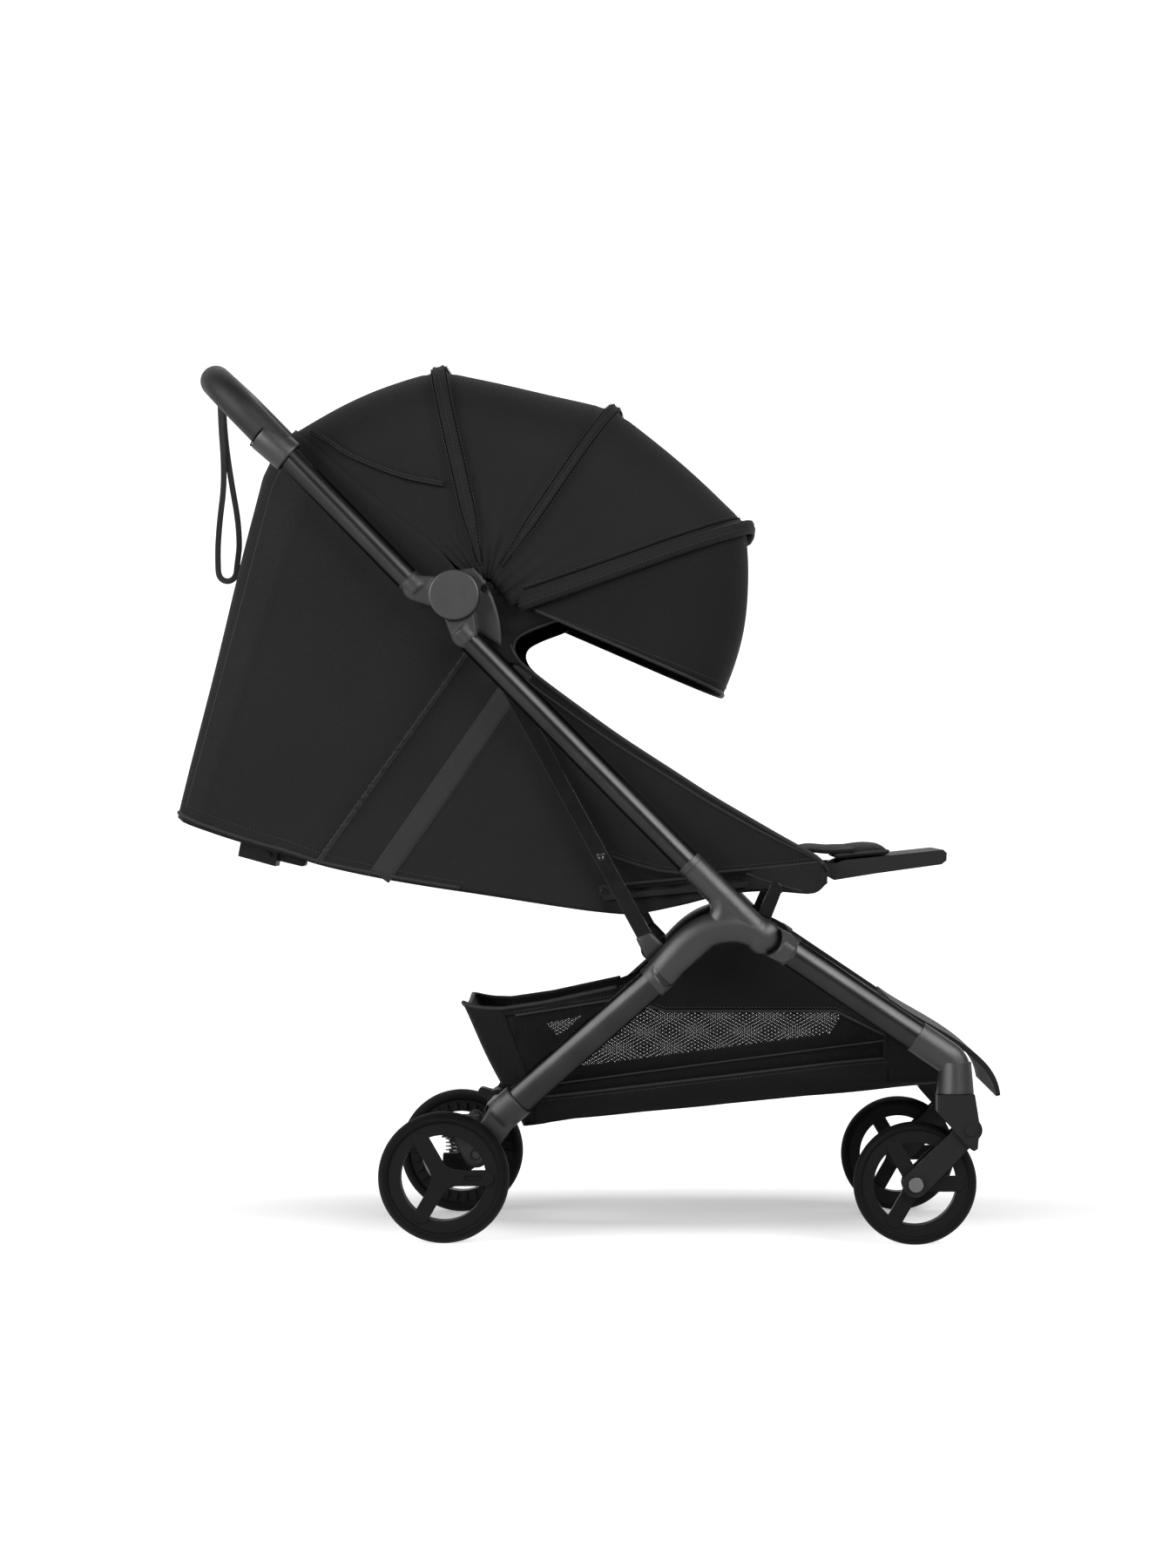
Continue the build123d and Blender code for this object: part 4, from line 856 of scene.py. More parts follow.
# underside of the seat
UB = resample(np.vstack([REAR_BOT[None], np.array([(-0.4690, 0.4858)]), Bc]), 0.009)
ys = np.linspace(-1, 1, 41)
U = np.zeros((len(UB), 41, 3))
for i, p in enumerate(UB):
    wy = 0.1500 - (0.034 - math.sqrt(max(0.0, 0.034 ** 2 - (0.034 - min(0.034, p[0] + 0.4785)) ** 2)))
    wy -= 0.010 * sstep(0.235, 0.279, p[0]) + 0.0068 * sstep(0.020, 0.055, p[0]) * (1 - sstep(0.180, 0.196, p[0]))
    U[i, :, 0] = p[0]
    U[i, :, 1] = ys * wy
    U[i, :, 2] = p[1] - 0.004 * (1 - ys ** 2) * sstep(-0.47, -0.42, p[0]) * (1 - sstep(0.20, 0.27, p[0]))
U[:, :, 2] += 0.0008 * ripple(U.reshape(-1, 3), 6.0, 8).reshape(U.shape[:2])
# a pocket over the recline lever, and a front edge that stays behind the footrest hinge
U[:, :, 2] += 0.0075 * np.exp(-((U[:, :, 0] + 0.347) / 0.026) ** 2 - (U[:, :, 1] / 0.030) ** 4)
U = U[UB[:, 0] < 0.2738]
under = sheet_obj("seat_underside", U, M_LINING, 0.0016, offset=0.0)
weigh(under, seat_weights(points_of(under)))
declare(under)


def on_shell(line_u, level, lift=0.0):
    """points on the right half of the shell, by column share (1 front, 0 rear corner, below 0 round the back) and level"""
    Hn = SH[:len(H)]
    cu = colu[:len(H)].copy()
    k = np.arange(len(H), dtype=float)
    idx = np.where(np.asarray(line_u) >= 0, (1 - np.asarray(line_u)) * (NC - 1), NC - 1 - np.asarray(line_u) * (len(H) - NC))
    lv = np.asarray(level) * (LEV - 1)
    i0 = np.clip(idx.astype(int), 0, len(H) - 2)
    j0 = np.clip(lv.astype(int), 0, LEV - 2)
    a, b = (idx - i0)[:, None], (lv - j0)[:, None]
    P = (Hn[i0, j0] * (1 - a) + Hn[i0 + 1, j0] * a) * (1 - b) + (Hn[i0, j0 + 1] * (1 - a) + Hn[i0 + 1, j0 + 1] * a) * b
    du = Hn[i0 + 1, j0] - Hn[i0, j0]
    dv = Hn[i0, j0 + 1] - Hn[i0, j0]
    n = np.cross(du, dv)
    n /= np.linalg.norm(n, axis=1)[:, None] + 1e-12
    n *= np.where(((P - np.array([-0.15, 0, 0.6])) * n).sum(1) < 0, -1, 1)[:, None]
    return P + n * lift, n


def both(o, name, weights=seat_weights):
    q = mirrored(o, name)
    for x in (o, q):
        weigh(x, weights(points_of(x)))
    return o, q


# wide webbing band, from the arm edge down to the underside
n = 60
lv = np.linspace(0.0, 0.985, n)
bp, bn = on_shell(np.full(n, 7.5 / NI), lv, 0.0014)
wdir, _ = on_shell(np.full(n, 8 / NI), lv)
wdir2, _ = on_shell(np.full(n, 7 / NI), lv)
both(ribbon("band_right", bp, wdir - wdir2, 0.0262, 0.0012, M_WEB), "band_left")
for k, (u, nm) in enumerate(((7.07 / NI, "a"), (7.93 / NI, "b"))):
    p, nn = on_shell(np.full(n, u), lv, 0.0022)
    both(stitches(f"band_stitch_{nm}_right", p, nn), f"band_stitch_{nm}_left")
# elastic seam: a narrow tape drawn up into small ruffles
n = 260
lv = np.linspace(0.004, 0.985, n)
p, nn = on_shell(np.full(n, seam_c), lv, 0.0012)
p2, _ = on_shell(np.full(n, seam_c + 0.01), lv)
wave = np.sin(np.arange(n) * 2 * math.pi / 5.2)
wave2 = np.sin(np.arange(n) * 2 * math.pi / 5.2 + 1.3)
acr = p2 - p
acr /= np.linalg.norm(acr, axis=1)[:, None]
prof = [(-0.0042, 0.0002, 0.0007), (-0.0030, 0.0011, 0.0005), (-0.0010, 0.0010, 0.0002), (0.0010, 0.0010, -0.0002), (0.0030, 0.0011, -0.0005), (0.0042, 0.0002, -0.0007), (0.0024, -0.0006, 0.0), (-0.0024, -0.0006, 0.0)]
rings = np.stack([p + acr * (a + 0.0006 * (wave if a > 0 else wave2))[:, None] + nn * (b + c * wave)[:, None] for a, b, c in prof], 1)
both(loft("gather_seam_right", rings, M_BIND), "gather_seam_left")
for k, dx in enumerate((-0.0019, 0.0019)):
    both(stitches(f"gather_stitch_{'ab'[k]}_right", p + acr * dx + nn * 0.0013, nn, pitch=0.0030, length=0.0021), f"gather_stitch_{'ab'[k]}_left")
# seam over the tucked lower part, and the open edge of the pouch
xs = np.linspace(0.030, 0.2700, 130)


def at_xz(x, z):
    """column and level of the right side where the side view shows (x, z)"""
    D = (SH[:NC, :, 0][None] - np.asarray(x)[:, None, None]) ** 2 + (SH[:NC, :, 2][None] - np.asarray(z)[:, None, None]) ** 2
    k = D.reshape(len(x), -1).argmin(1)
    return SH[:NC].reshape(-1, 3)[k]


near = at_xz(xs, low_seam(xs) + 0.002)
ly = np.interp(xs, xs, near[:, 1])
ly = np.convolve(np.r_[np.full(6, ly[0]), ly, np.full(6, ly[-1])], np.ones(13) / 13, "valid")
line = np.stack([xs, ly - 0.0012, low_seam(xs)], 1)
both(tube("lower_seam_right", line, 0.0017, M_BIND, 8), "lower_seam_left")
both(stitches("lower_seam_stitch_right", line + np.array([0, -0.0003, 0.0048]), np.tile([0, -1.0, 0], (len(line), 1))), "lower_seam_stitch_left")
edge_c = smooth_line([(0.1850, 0.4265), (0.2050, 0.4185), (0.2300, 0.4110), (0.2500, 0.4060)], 40)
near = at_xz(edge_c[:, 0], edge_c[:, 1])
ly = np.convolve(np.r_[np.full(5, near[0, 1]), near[:, 1], np.full(5, near[-1, 1])], np.ones(11) / 11, "valid")
both(tube("pouch_edge_right", np.stack([edge_c[:, 0], ly - 0.0006, edge_c[:, 1]], 1), 0.0015, M_BIND, 8), "pouch_edge_left")
# double piping on the arm edge
uu = np.linspace(6 / NI, 0.995, 120)
for k, (lv0, rr) in enumerate(((0.995, 0.0026), (0.955, 0.0017))):
    p, nn = on_shell(uu, np.full(120, lv0), 0.0010)
    both(tube(f"arm_piping_{'ab'[k]}_right", p, rr, M_BIND, 10), f"arm_piping_{'ab'[k]}_left")
# hem binding round the lower rear edge, and its stitch row
uu = np.r_[np.linspace(9.4 / NI, 0.0, 90), np.linspace(0.0, -1.0, 50)[1:]]
p, nn = on_shell(uu, np.full(len(uu), 0.012), 0.0008)
full = np.vstack([p, p[-2::-1] * np.array([1, -1, 1])])
o = tube("hem_binding", resample(full, 0.005), 0.0024, M_BIND, 10)
weigh(o, seat_weights(points_of(o)))
p, nn = on_shell(uu, np.full(len(uu), 0.040), 0.0012)
o = stitches("hem_stitch", np.vstack([p, p[-2::-1] * np.array([1, -1, 1])]), np.vstack([nn, nn[-2::-1] * np.array([1, -1, 1])]))
weigh(o, seat_weights(points_of(o)))
# rear corner seams
p, nn = on_shell(np.full(60, -0.26), np.linspace(0.03, 0.97, 60), 0.0004)
both(tube("corner_seam_right", p, 0.0009, M_BIND, 8), "corner_seam_left")

# lining that closes the corner between canopy, shoulder and arm
edge_r = smooth_line([(-0.0313, 0.7222), (-0.0440, 0.7172), (-0.0616, 0.7106), (-0.0770, 0.7030), (-0.0838, 0.6960), (-0.0850, 0.6850), (-0.0765, 0.6690)], 34)
edge_l = smooth_line([(-0.1060, 0.7640), (-0.1180, 0.7600), (-0.1290, 0.7460), (-0.1310, 0.7280), (-0.1300, 0.7120), (-0.1240, 0.6920), (-0.1120, 0.6740)], 34)
tl = np.linspace(0, 1, 16)
LN = np.zeros((34, 16, 3))
for k, t in enumerate(tl):
    LN[:, k, 0] = edge_l[:, 0] * (1 - t) + edge_r[:, 0] * t
    LN[:, k, 2] = edge_l[:, 1] * (1 - t) + edge_r[:, 1] * t
    LN[:, k, 1] = -(0.1600 - 0.0015 * t - 0.0085 * t ** 5)
LN[:, :, 1] += 0.0012 * np.sin(np.linspace(0, 1, 34)[:, None] * 19.0 + tl[None] * 3.0) * np.sin(math.pi * tl)[None]
o = sheet_obj("shoulder_lining_right", LN, M_LINING, 0.0018, offset=0.0)
q = mirrored(o, "shoulder_lining_left")
for k in (o, q):
    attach(k, "chassis")
    declare(k)
    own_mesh(k)
o = tube("shoulder_binding_right", resample(LN[:, -1], 0.005), 0.0021, M_BIND, 10)
q = mirrored(o, "shoulder_binding_left")
for k in (o, q):
    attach(k, "chassis")
    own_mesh(k)

# ---------------------------------------------------------------- pads
U_B = np.array([-0.9833, 0.0, 0.1819])
N_B = np.array([0.1819, 0.0, 0.9833])
EY = np.array([0, 1.0, 0])


def pad(name, origin, eu, en, lu, half, thick, material, quilt_u=(), quilt_v=(), nu=90, nv=80, p=7.0, crown=0.25, seed=3, groove=0.0035):
    """crowned cushion: origin is the middle of its near lower edge, eu along it, en up, half width along y"""
    u = (1 - np.cos(np.linspace(0, math.pi, nu))) / 2
    v = -np.cos(np.linspace(0, math.pi, nv))
    A, B = np.meshgrid(2 * u - 1, v, indexing="ij")
    pull = 1 - 0.016 * (1 - A ** 2) * np.abs(B) ** 8
    pull_u = 1 - 0.016 * (1 - B ** 2) * np.abs(A) ** 8
    prof = np.clip(1 - np.abs(A) ** p, 0, 1) ** (1 / p * 2.2) * np.clip(1 - np.abs(B) ** p, 0, 1) ** (1 / p * 2.2)
    dome = (1 - crown) + crown * np.clip((1 - A ** 2) * (1 - B ** 2), 0, 1) ** 0.5
    h = thick * prof * dome
    X = (A * pull_u + 1) / 2 * lu
    Y = B * pull * half
    g0 = np.zeros_like(h)
    for q in quilt_u:
        g0 += np.exp(-((X - q * lu) / 0.0042) ** 2)
    for q in quilt_v:
        g0 += np.exp(-((Y - q * half) / 0.0042) ** 2)
    h = h - groove * np.clip(g0, 0, 1.2) * prof
    base = np.array(origin)[None, None] + X[:, :, None] * eu + Y[:, :, None] * EY
    top = base + en * h[:, :, None]
    wv = 0.0007 * ripple(top.reshape(-1, 3), 16.0, seed).reshape(h.shape) * prof
    top = top + en * wv[:, :, None]
    bot = base + en * (0.10 * thick * (1 - prof))[:, :, None]
    mid = base + en * (0.45 * thick) * (1 - prof)[:, :, None]
    rimmask = (np.arange(nu)[:, None] == 0) | (np.arange(nu)[:, None] == nu - 1) | (np.arange(nv)[None] == 0) | (np.arange(nv)[None] == nv - 1)
    top[rimmask] = (base + en * 0.30 * thick)[rimmask]
    verts = np.vstack([top.reshape(-1, 3), bot.reshape(-1, 3)])
    inner = ~rimmask.ravel()
    nvt = nu * nv
    remap = np.arange(2 * nvt)
    remap[nvt:][~inner] = np.arange(nvt)[~inner]
    f = np.vstack([grid_faces(nu, nv), grid_faces(nu, nv, nvt, flip=True)])
    f = remap[f]
    used = np.unique(f)
    back = np.full(2 * nvt, -1)
    back[used] = np.arange(len(used))
    uv = np.tile(np.stack([X, Y], 2).reshape(-1, 2), (2, 1))
    o = add_obj(name, verts[used], back[f], material, uv[used])
    bm = bmesh.new()
    bm.from_mesh(o.data)
    bmesh.ops.recalc_face_normals(bm, faces=bm.faces)
    bm.to_mesh(o.data)
    bm.free()
    o.data.polygons.foreach_set("use_smooth", [True] * len(o.data.polygons))
    rim = np.concatenate([top[:, 0], top[-1, 1:], top[-2::-1, -1], top[0, -2:0:-1]])
    return o, rim


def puff(o, origin, eu, en, lu, half, thick, quilt_u=(), quilt_v=(), cap=0.007, voxel=0.005):
    """swells a pad by cloth pressure: held on its underside and along its sewn channels, then carried over to the pad"""
    c = bpy.data.objects.new(o.name + "_swell", o.data.copy())
    scene.collection.objects.link(c)
    md = c.modifiers.new("voxels", "REMESH")
    md.mode = "VOXEL"
    md.voxel_size = voxel
    rough = bpy.data.meshes.new_from_object(c.evaluated_get(bpy.context.evaluated_depsgraph_get()))
    c.modifiers.clear()
    first, c.data = c.data, rough
    bpy.data.meshes.remove(first)
    rest = points_of(c)
    q = rest - np.array(origin)
    up = q @ en
    hold = up < 0.34 * thick
    for k in quilt_u:
        hold |= np.abs(q @ eu - k * lu) < 0.0040
    for k in quilt_v:
        hold |= np.abs(q[:, 1] - k * half) < 0.0040
    vg = c.vertex_groups.new(name="hold")
    vg.add([int(k) for k in np.nonzero(hold)[0]], 1.0, "REPLACE")
    cl = c.modifiers.new("cloth", "CLOTH")
    st = cl.settings
    st.vertex_group_mass = "hold"
    st.use_pressure = True
    st.uniform_pressure_force = 130.0
    st.effector_weights.gravity = 0.0
    st.quality = 5
    st.mass = 0.3
    cl.collision_settings.use_collision = False
    cl.collision_settings.use_self_collision = False
    cl.point_cache.frame_start = 1
    cl.point_cache.frame_end = 20
    for f in range(1, 21):
        scene.frame_set(f)
    ev = c.evaluated_get(bpy.context.evaluated_depsgraph_get())
    m2 = ev.to_mesh()
    now = np.zeros(len(m2.vertices) * 3, np.float32)
    m2.vertices.foreach_get("co", now)
    move = now.reshape(-1, 3).astype(float) - rest
    ev.to_mesh_clear()
    scene.frame_set(1)
    size = np.linalg.norm(move, axis=1)
    move *= (np.minimum(size, cap) / np.maximum(size, 1e-9))[:, None]
    tree = KDTree(len(rest))
    for k, p in enumerate(rest):
        tree.insert(p, k)
    tree.balance()
    pts = points_of(o)
    rise = sstep(0.20, 0.60, ((pts - np.array(origin)) @ en) / thick)
    for k, p in enumerate(pts):
        if rise[k] <= 0:
            continue
        got = tree.find_n(p, 6)
        w = np.array([1.0 / (0.0015 + d) ** 2 for _, _, d in got])
        pts[k] = p + rise[k] * (w[:, None] * move[[i for _, i, _ in got]]).sum(0) / w.sum()
    o.data.vertices.foreach_set("co", pts.astype(np.float32).ravel())
    o.data.update()
    bpy.data.objects.remove(c)
    bpy.data.meshes.remove(rough)
    print("swell", o.name, len(rest), round(float(size.max()) * 1000, 2), round(float(np.median(size[~hold])) * 1000, 2))
    return o


def ring_tube(name, loop, r, material):
    l = np.vstack([loop, loop[:2]])
    return tube(name, resample(l, 0.006), r, material, 8)


seat_eu = np.array([213.0, 0, 19.4]) / math.hypot(213, 19.4)
seat_en = np.array([-seat_eu[2], 0, seat_eu[0]])
o, rim = pad("seat_pad", mm(42.5, 0, 405.2), seat_eu, seat_en, 0.2130, 0.143, 0.028, M_QUILT, quilt_u=(0.34, 0.67), quilt_v=(-0.52, 0.52), seed=41)
puff(o, mm(42.5, 0, 405.2), seat_eu, seat_en, 0.2130, 0.143, 0.028, (0.34, 0.67), (-0.52, 0.52), cap=0.006)
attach(o, "chassis"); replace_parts(o, "seat_cushion")
o = ring_tube("seat_pad_piping", rim, 0.0022, M_BIND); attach(o, "chassis")
Q3 = np.array([Q[0], 0, Q[1]])
o, rim = pad("back_pad", Q3 + U_B * 0.047 + N_B * 0.0040, U_B, N_B, 0.4325, 0.1365, 0.0200, M_QUILT, quilt_u=(0.2, 0.4, 0.6, 0.8), quilt_v=(-0.62, 0.62), seed=43, nu=130)
puff(o, Q3 + U_B * 0.047 + N_B * 0.0040, U_B, N_B, 0.4325, 0.1365, 0.0200, (0.2, 0.4, 0.6, 0.8), (-0.62, 0.62), cap=0.0045)
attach(o, "backrest"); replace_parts(o, "backrest_pad")
o = ring_tube("back_pad_piping", rim, 0.0022, M_BIND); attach(o, "backrest")
leg_eu = np.array([60.0, 0, 5.2]) / math.hypot(60.0, 5.2)
leg_en = np.array([-leg_eu[2], 0, leg_eu[0]])
o, rim = pad("leg_pad", mm(290.6, 0, 442.6), leg_eu, leg_en, 0.0616, 0.1255, 0.0140, M_QUILT, quilt_v=(-0.34, 0.34), seed=47, nu=50)
puff(o, mm(290.6, 0, 442.6), leg_eu, leg_en, 0.0616, 0.1255, 0.0140, (), (-0.34, 0.34), cap=0.003, voxel=0.004)
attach(o, "footrest"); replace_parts(o, "footrest_pad")
o = ring_tube("leg_pad_piping", rim, 0.0018, M_BIND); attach(o, "footrest")
# soft flap that bridges from the seat to the footrest
fx = smooth_line([(0.2450, 0.4520), (0.2560, 0.4555), (0.2700, 0.4570), (0.2850, 0.4565), (0.3020, 0.4555), (0.3120, 0.4565)], 40)
ys = np.linspace(-1, 1, 46)
FP = np.zeros((40, 46, 3))
for i, p in enumerate(fx):
    FP[i, :, 0] = p[0]
    FP[i, :, 1] = ys * (0.1270 - 0.0030 * math.sin(math.pi * i / 39))
    FP[i, :, 2] = p[1] - 0.0050 * np.abs(ys) ** 6
FP[:, :, 2] += 0.0007 * ripple(FP.reshape(-1, 3), 18.0, 51).reshape(40, 46) + 0.0009 * np.sin(np.linspace(0, 3 * math.pi, 40))[:, None]
flap = sheet_obj("leg_flap", FP, M_QUILT, 0.0042, offset=0.0, sub=1)
weigh(flap, sstep(0.256, 0.300, points_of(flap)[:, 0]))
declare(flap)

# ---------------------------------------------------------------- harness
def back_pt(r, n, y):
    return Q3 + U_B * r + N_B * n + EY * y


for sgn, nm in ((-1, "right"), (1, "left")):
    y = 0.054 * sgn
    line = smooth_line([back_pt(0.352, 0.0265, y), back_pt(0.300, 0.0288, y), back_pt(0.220, 0.0290, y), back_pt(0.150, 0.0290, y)], 60)
    w = 0.038 * (0.80 + 0.20 * sstep(0, 0.12, np.linspace(0, 1, 60))) * (1 - 0.25 * sstep(0.9, 1.0, np.linspace(0, 1, 60)))
    o = ribbon(f"shoulder_pad_{nm}", line, EY, w, 0.0052, M_QUILT)
    s = o.modifiers.new("subdivision", "SUBSURF"); s.levels = s.render_levels = 1
    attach(o, "backrest"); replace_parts(o, "shoulder_straps") if sgn < 0 else None
    for k in (-1, 1):
        st = stitches(f"shoulder_stitch_{nm}_{'ab'[(k + 1) // 2]}", line[4:-4] + EY * 0.0145 * k + N_B * 0.0029, np.tile(N_B, (52, 1)))
        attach(st, "backrest")
    line = smooth_line([back_pt(0.158, 0.0292, y), back_pt(0.120, 0.0320, y * 0.96), back_pt(0.060, 0.0480, y * 0.80), np.array([0.052, y * 0.55, 0.4760]), np.array([0.088, y * 0.36, 0.4795])], 60)
    o = ribbon(f"shoulder_web_{nm}", line, EY, 0.022, 0.0014, M_WEB)
    p = points_of(o)
    weigh(o, sstep(-0.03, 0.07, Q[0] - p[:, 0]))
    line = smooth_line([np.array([0.060, sgn * 0.132, 0.437]), np.array([0.070, sgn * 0.112, 0.4400]), np.array([0.082, sgn * 0.075, 0.4520]), np.array([0.092, sgn * 0.040, 0.4690]), np.array([0.097, sgn * 0.021, 0.4765])], 50)
    o = ribbon(f"waist_web_{nm}", line, np.array([0.55, 0, 0.83]), 0.022, 0.0014, M_WEB)
    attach(o, "chassis")
line = smooth_line([np.array([0.150, 0, 0.4455]), np.array([0.1440, 0, 0.4520]), np.array([0.1330, 0, 0.4600]), np.array([0.1190, 0, 0.4650]), np.array([0.1100, 0, 0.4680])], 40)
o = ribbon("crotch_web", line, EY, 0.028, 0.0030, M_WEB)
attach(o, "chassis")

# ---------------------------------------------------------------- basket
BT = [(-0.1462, 0.2735), (-0.1250, 0.2685), (-0.1030, 0.2668), (-0.0500, 0.2745), (0.0334, 0.2925), (0.0720, 0.3070), (0.1100, 0.3265), (0.1450, 0.3480), (0.1737, 0.3560), (0.2050, 0.3510), (0.2400, 0.3320), (0.2950, 0.2870), (0.3400, 0.2455), (0.3710, 0.2245), (0.3950, 0.2085), (0.4120, 0.1985)]
BB = [(-0.0755, 0.1290), (-0.0640, 0.1310), (-0.0480, 0.1335), (-0.0150, 0.1395), (0.0334, 0.1440), (0.0700, 0.1475), (0.1050, 0.1505), (0.1380, 0.1535), (0.1680, 0.1565), (0.2000, 0.1597), (0.2350, 0.1632), (0.2900, 0.1687), (0.3350, 0.1732), (0.3680, 0.1766), (0.3930, 0.1790), (0.4100, 0.1808)]
NB = 121
bt, bb = smooth_line(BT, NB), smooth_line(BB, NB)
P2 = (0.2037, 0.3547)


def basket_weights(p):
    th = angle_about(p, P2)
    th = np.where(th > 20, th - 360, th)
    return np.clip((th + 158.0) / 124.0, 0, 1)


def mesh_lines(x):
    """heights of the net's upper and lower edge and of the band below it, over x"""
    top = np.interp(x, [-0.086, -0.0785, 0.0161, 0.0334, 0.060, 0.090, 0.290, 0.330, 0.352], [0.2600, 0.2608, 0.2760, 0.2790, 0.2760, 0.2649, 0.2649, 0.2455, 0.2352])
    low = np.interp(x, [-0.086, -0.011, 0.3426, 0.352], [0.1740, 0.1836, 0.2300, 0.2312])
    band = np.interp(x, [-0.06, 0.0263, 0.3009, 0.360], [0.1640, 0.1734, 0.2059, 0.2110])
    return top, low, band


def wall_y(x, z):
    """half width of the basket wall, slack between its edges"""
    i = np.interp(x, bb[:, 0], np.arange(NB))
    zt = np.interp(x, bt[:, 0], bt[:, 1])
    zb = np.interp(x, bb[:, 0], bb[:, 1])
    t = np.clip((z - zb) / np.maximum(zt - zb, 0.01), 0, 1)
    return 0.1265 - 0.0050 * np.sin(math.pi * t) * sstep(-0.1, 0.1, x) * (1 - sstep(0.3, 0.41, x)) - 0.012 * (1 - sstep(0.0, 0.16, t))


def wall_sheet(name, x0, x1, lower, upper, material, nx, nz, inset=0.0):
    x = np.linspace(x0, x1, nx)
    lo, up = lower(x), upper(x)
    t = np.linspace(0, 1, nz)
    Z = lo[:, None] * (1 - t) + up[:, None] * t
    X = np.broadcast_to(x[:, None], Z.shape)
    Y = -(wall_y(X, Z) - inset)
    P = np.stack([X, Y, Z], 2)
    P = P + np.array([0, 1, 0]) * (0.0011 * ripple(P.reshape(-1, 3), 9.0, 17).reshape(Z.shape) * np.sin(math.pi * t)[None])[:, :, None]
    return sheet_obj(name, P, material, 0.0014, offset=0.0), P


def low_edge(x):
    return np.interp(x, [p[0] for p in BB], [p[1] for p in BB])


def top_edge(x):
    return np.interp(x, [p[0] for p in BT], [p[1] for p in BT])


def basket_pair(o, name):
    q = mirrored(o, name)
    for k in (o, q):
        weigh(k, basket_weights(points_of(k)))
    return o, q


o, _ = wall_sheet("basket_upper_right", 0.034, 0.352, lambda x: mesh_lines(x)[0], lambda x: np.maximum(top_edge(x), mesh_lines(x)[0] + 0.002), M_BASKET, 110, 16)
a, b = basket_pair(o, "basket_upper_left")
o, _ = wall_sheet("basket_lower_right", -0.062, 0.352, lambda x: low_edge(x), lambda x: mesh_lines(x)[2], M_BASKET, 130, 12)
lower_pair = basket_pair(o, "basket_lower_left")
o, _ = wall_sheet("basket_nose_right", 0.346, 0.411, lambda x: low_edge(x), lambda x: np.maximum(top_edge(x), low_edge(x) + 0.004), M_BASKET, 26, 16)
for k in basket_pair(o, "basket_nose_left"):
    declare(k)
o, _ = wall_sheet("basket_rim_right", -0.100, 0.034, lambda x: top_edge(x) - np.interp(x, [-0.1, -0.086, 0.034], [0.008, 0.009, 0.0138]), lambda x: top_edge(x), M_BASKET, 50, 6)
for k in basket_pair(o, "basket_rim_left"):
    declare(k)
o, _ = wall_sheet("basket_hem_right", -0.100, 0.060, lambda x: top_edge(x) - 0.024, lambda x: top_edge(x) - 0.0006, M_BASKET, 50, 10, inset=0.0026)
for k in basket_pair(o, "basket_hem_left"):
    declare(k)
o, _ = wall_sheet("basket_backing_right", -0.062, 0.3495, lambda x: mesh_lines(x)[2], lambda x: np.maximum(mesh_lines(x)[1] + sstep(0.288, 0.318, x) * (mesh_lines(x)[0] + 0.002 - mesh_lines(x)[1]), mesh_lines(x)[2] + 0.001), M_BASKET, 150, 10, inset=0.0024)
for k in basket_pair(o, "basket_backing_left"):
    declare(k)


def corner_top(x):
    return np.minimum(top_edge(x) - 0.004, 0.2608 - (x + 0.0785) * 1.137)


o, _ = wall_sheet("basket_corner_right", -0.100, -0.0150, lambda x: np.minimum(mesh_lines(x)[1], corner_top(x) - 0.001), corner_top, M_BASKET, 40, 14, inset=0.0022)
for k in basket_pair(o, "basket_corner_left"):
    declare(k)


def net(name, x0, x1, lower, upper, pitch, bar, slant=56.0, sy=-1.0):
    """woven net: two crossing sets of slanted threads, each a fine closed strand"""
    verts, faces, uvs = [], [], []
    slope = math.tan(math.radians(slant))
    for sg in (1, -1):
        for c in np.arange(x0 - 0.16, x1 + 0.16, pitch):
            z = np.linspace(0.125, 0.300, 120)
            x = c + sg * (z - 0.20) / slope
            ok = (x >= x0) & (x <= x1)
            xx = np.clip(x, x0, x1)
            ok &= (z >= lower(xx)) & (z <= upper(xx))
            idx = np.nonzero(ok)[0]
            if len(idx) < 2:
                continue
            for run in np.split(idx, np.nonzero(np.diff(idx) > 1)[0] + 1):
                if len(run) < 2:
                    continue
                m = max(2, len(run) // 9 + 1)
                zz = np.linspace(z[run[0]], z[run[-1]], m)
                xs = c + sg * (zz - 0.20) / slope
                P = np.stack([xs, sy * wall_y(xs, zz) - 0.00012 * sg, zz], 1)
                t = P[-1] - P[0]
                t /= np.linalg.norm(t)
                s = np.cross(t, [0, 1.0, 0])
                s /= np.linalg.norm(s)
                b0 = len(verts)
                for q, p in enumerate(P):
                    for a, d in ((bar / 2, 0), (0, 0.00030), (-bar / 2, 0), (0, -0.00030)):
                        verts.append(p + s * a + np.array([0, d, 0]))
                        uvs.append((zz[q] * 1.2, a))
                for q in range(m - 1):
                    for k in range(4):
                        k2 = (k + 1) % 4
                        faces.append((b0 + 4 * q + k, b0 + 4 * q + k2, b0 + 4 * q + 4 + k2, b0 + 4 * q + 4 + k))
                faces.append((b0 + 3, b0 + 2, b0 + 1, b0))
                faces.append((b0 + 4 * m - 4, b0 + 4 * m - 3, b0 + 4 * m - 2, b0 + 4 * m - 1))
    return add_obj(name, verts, faces, M_NET, np.array(uvs))


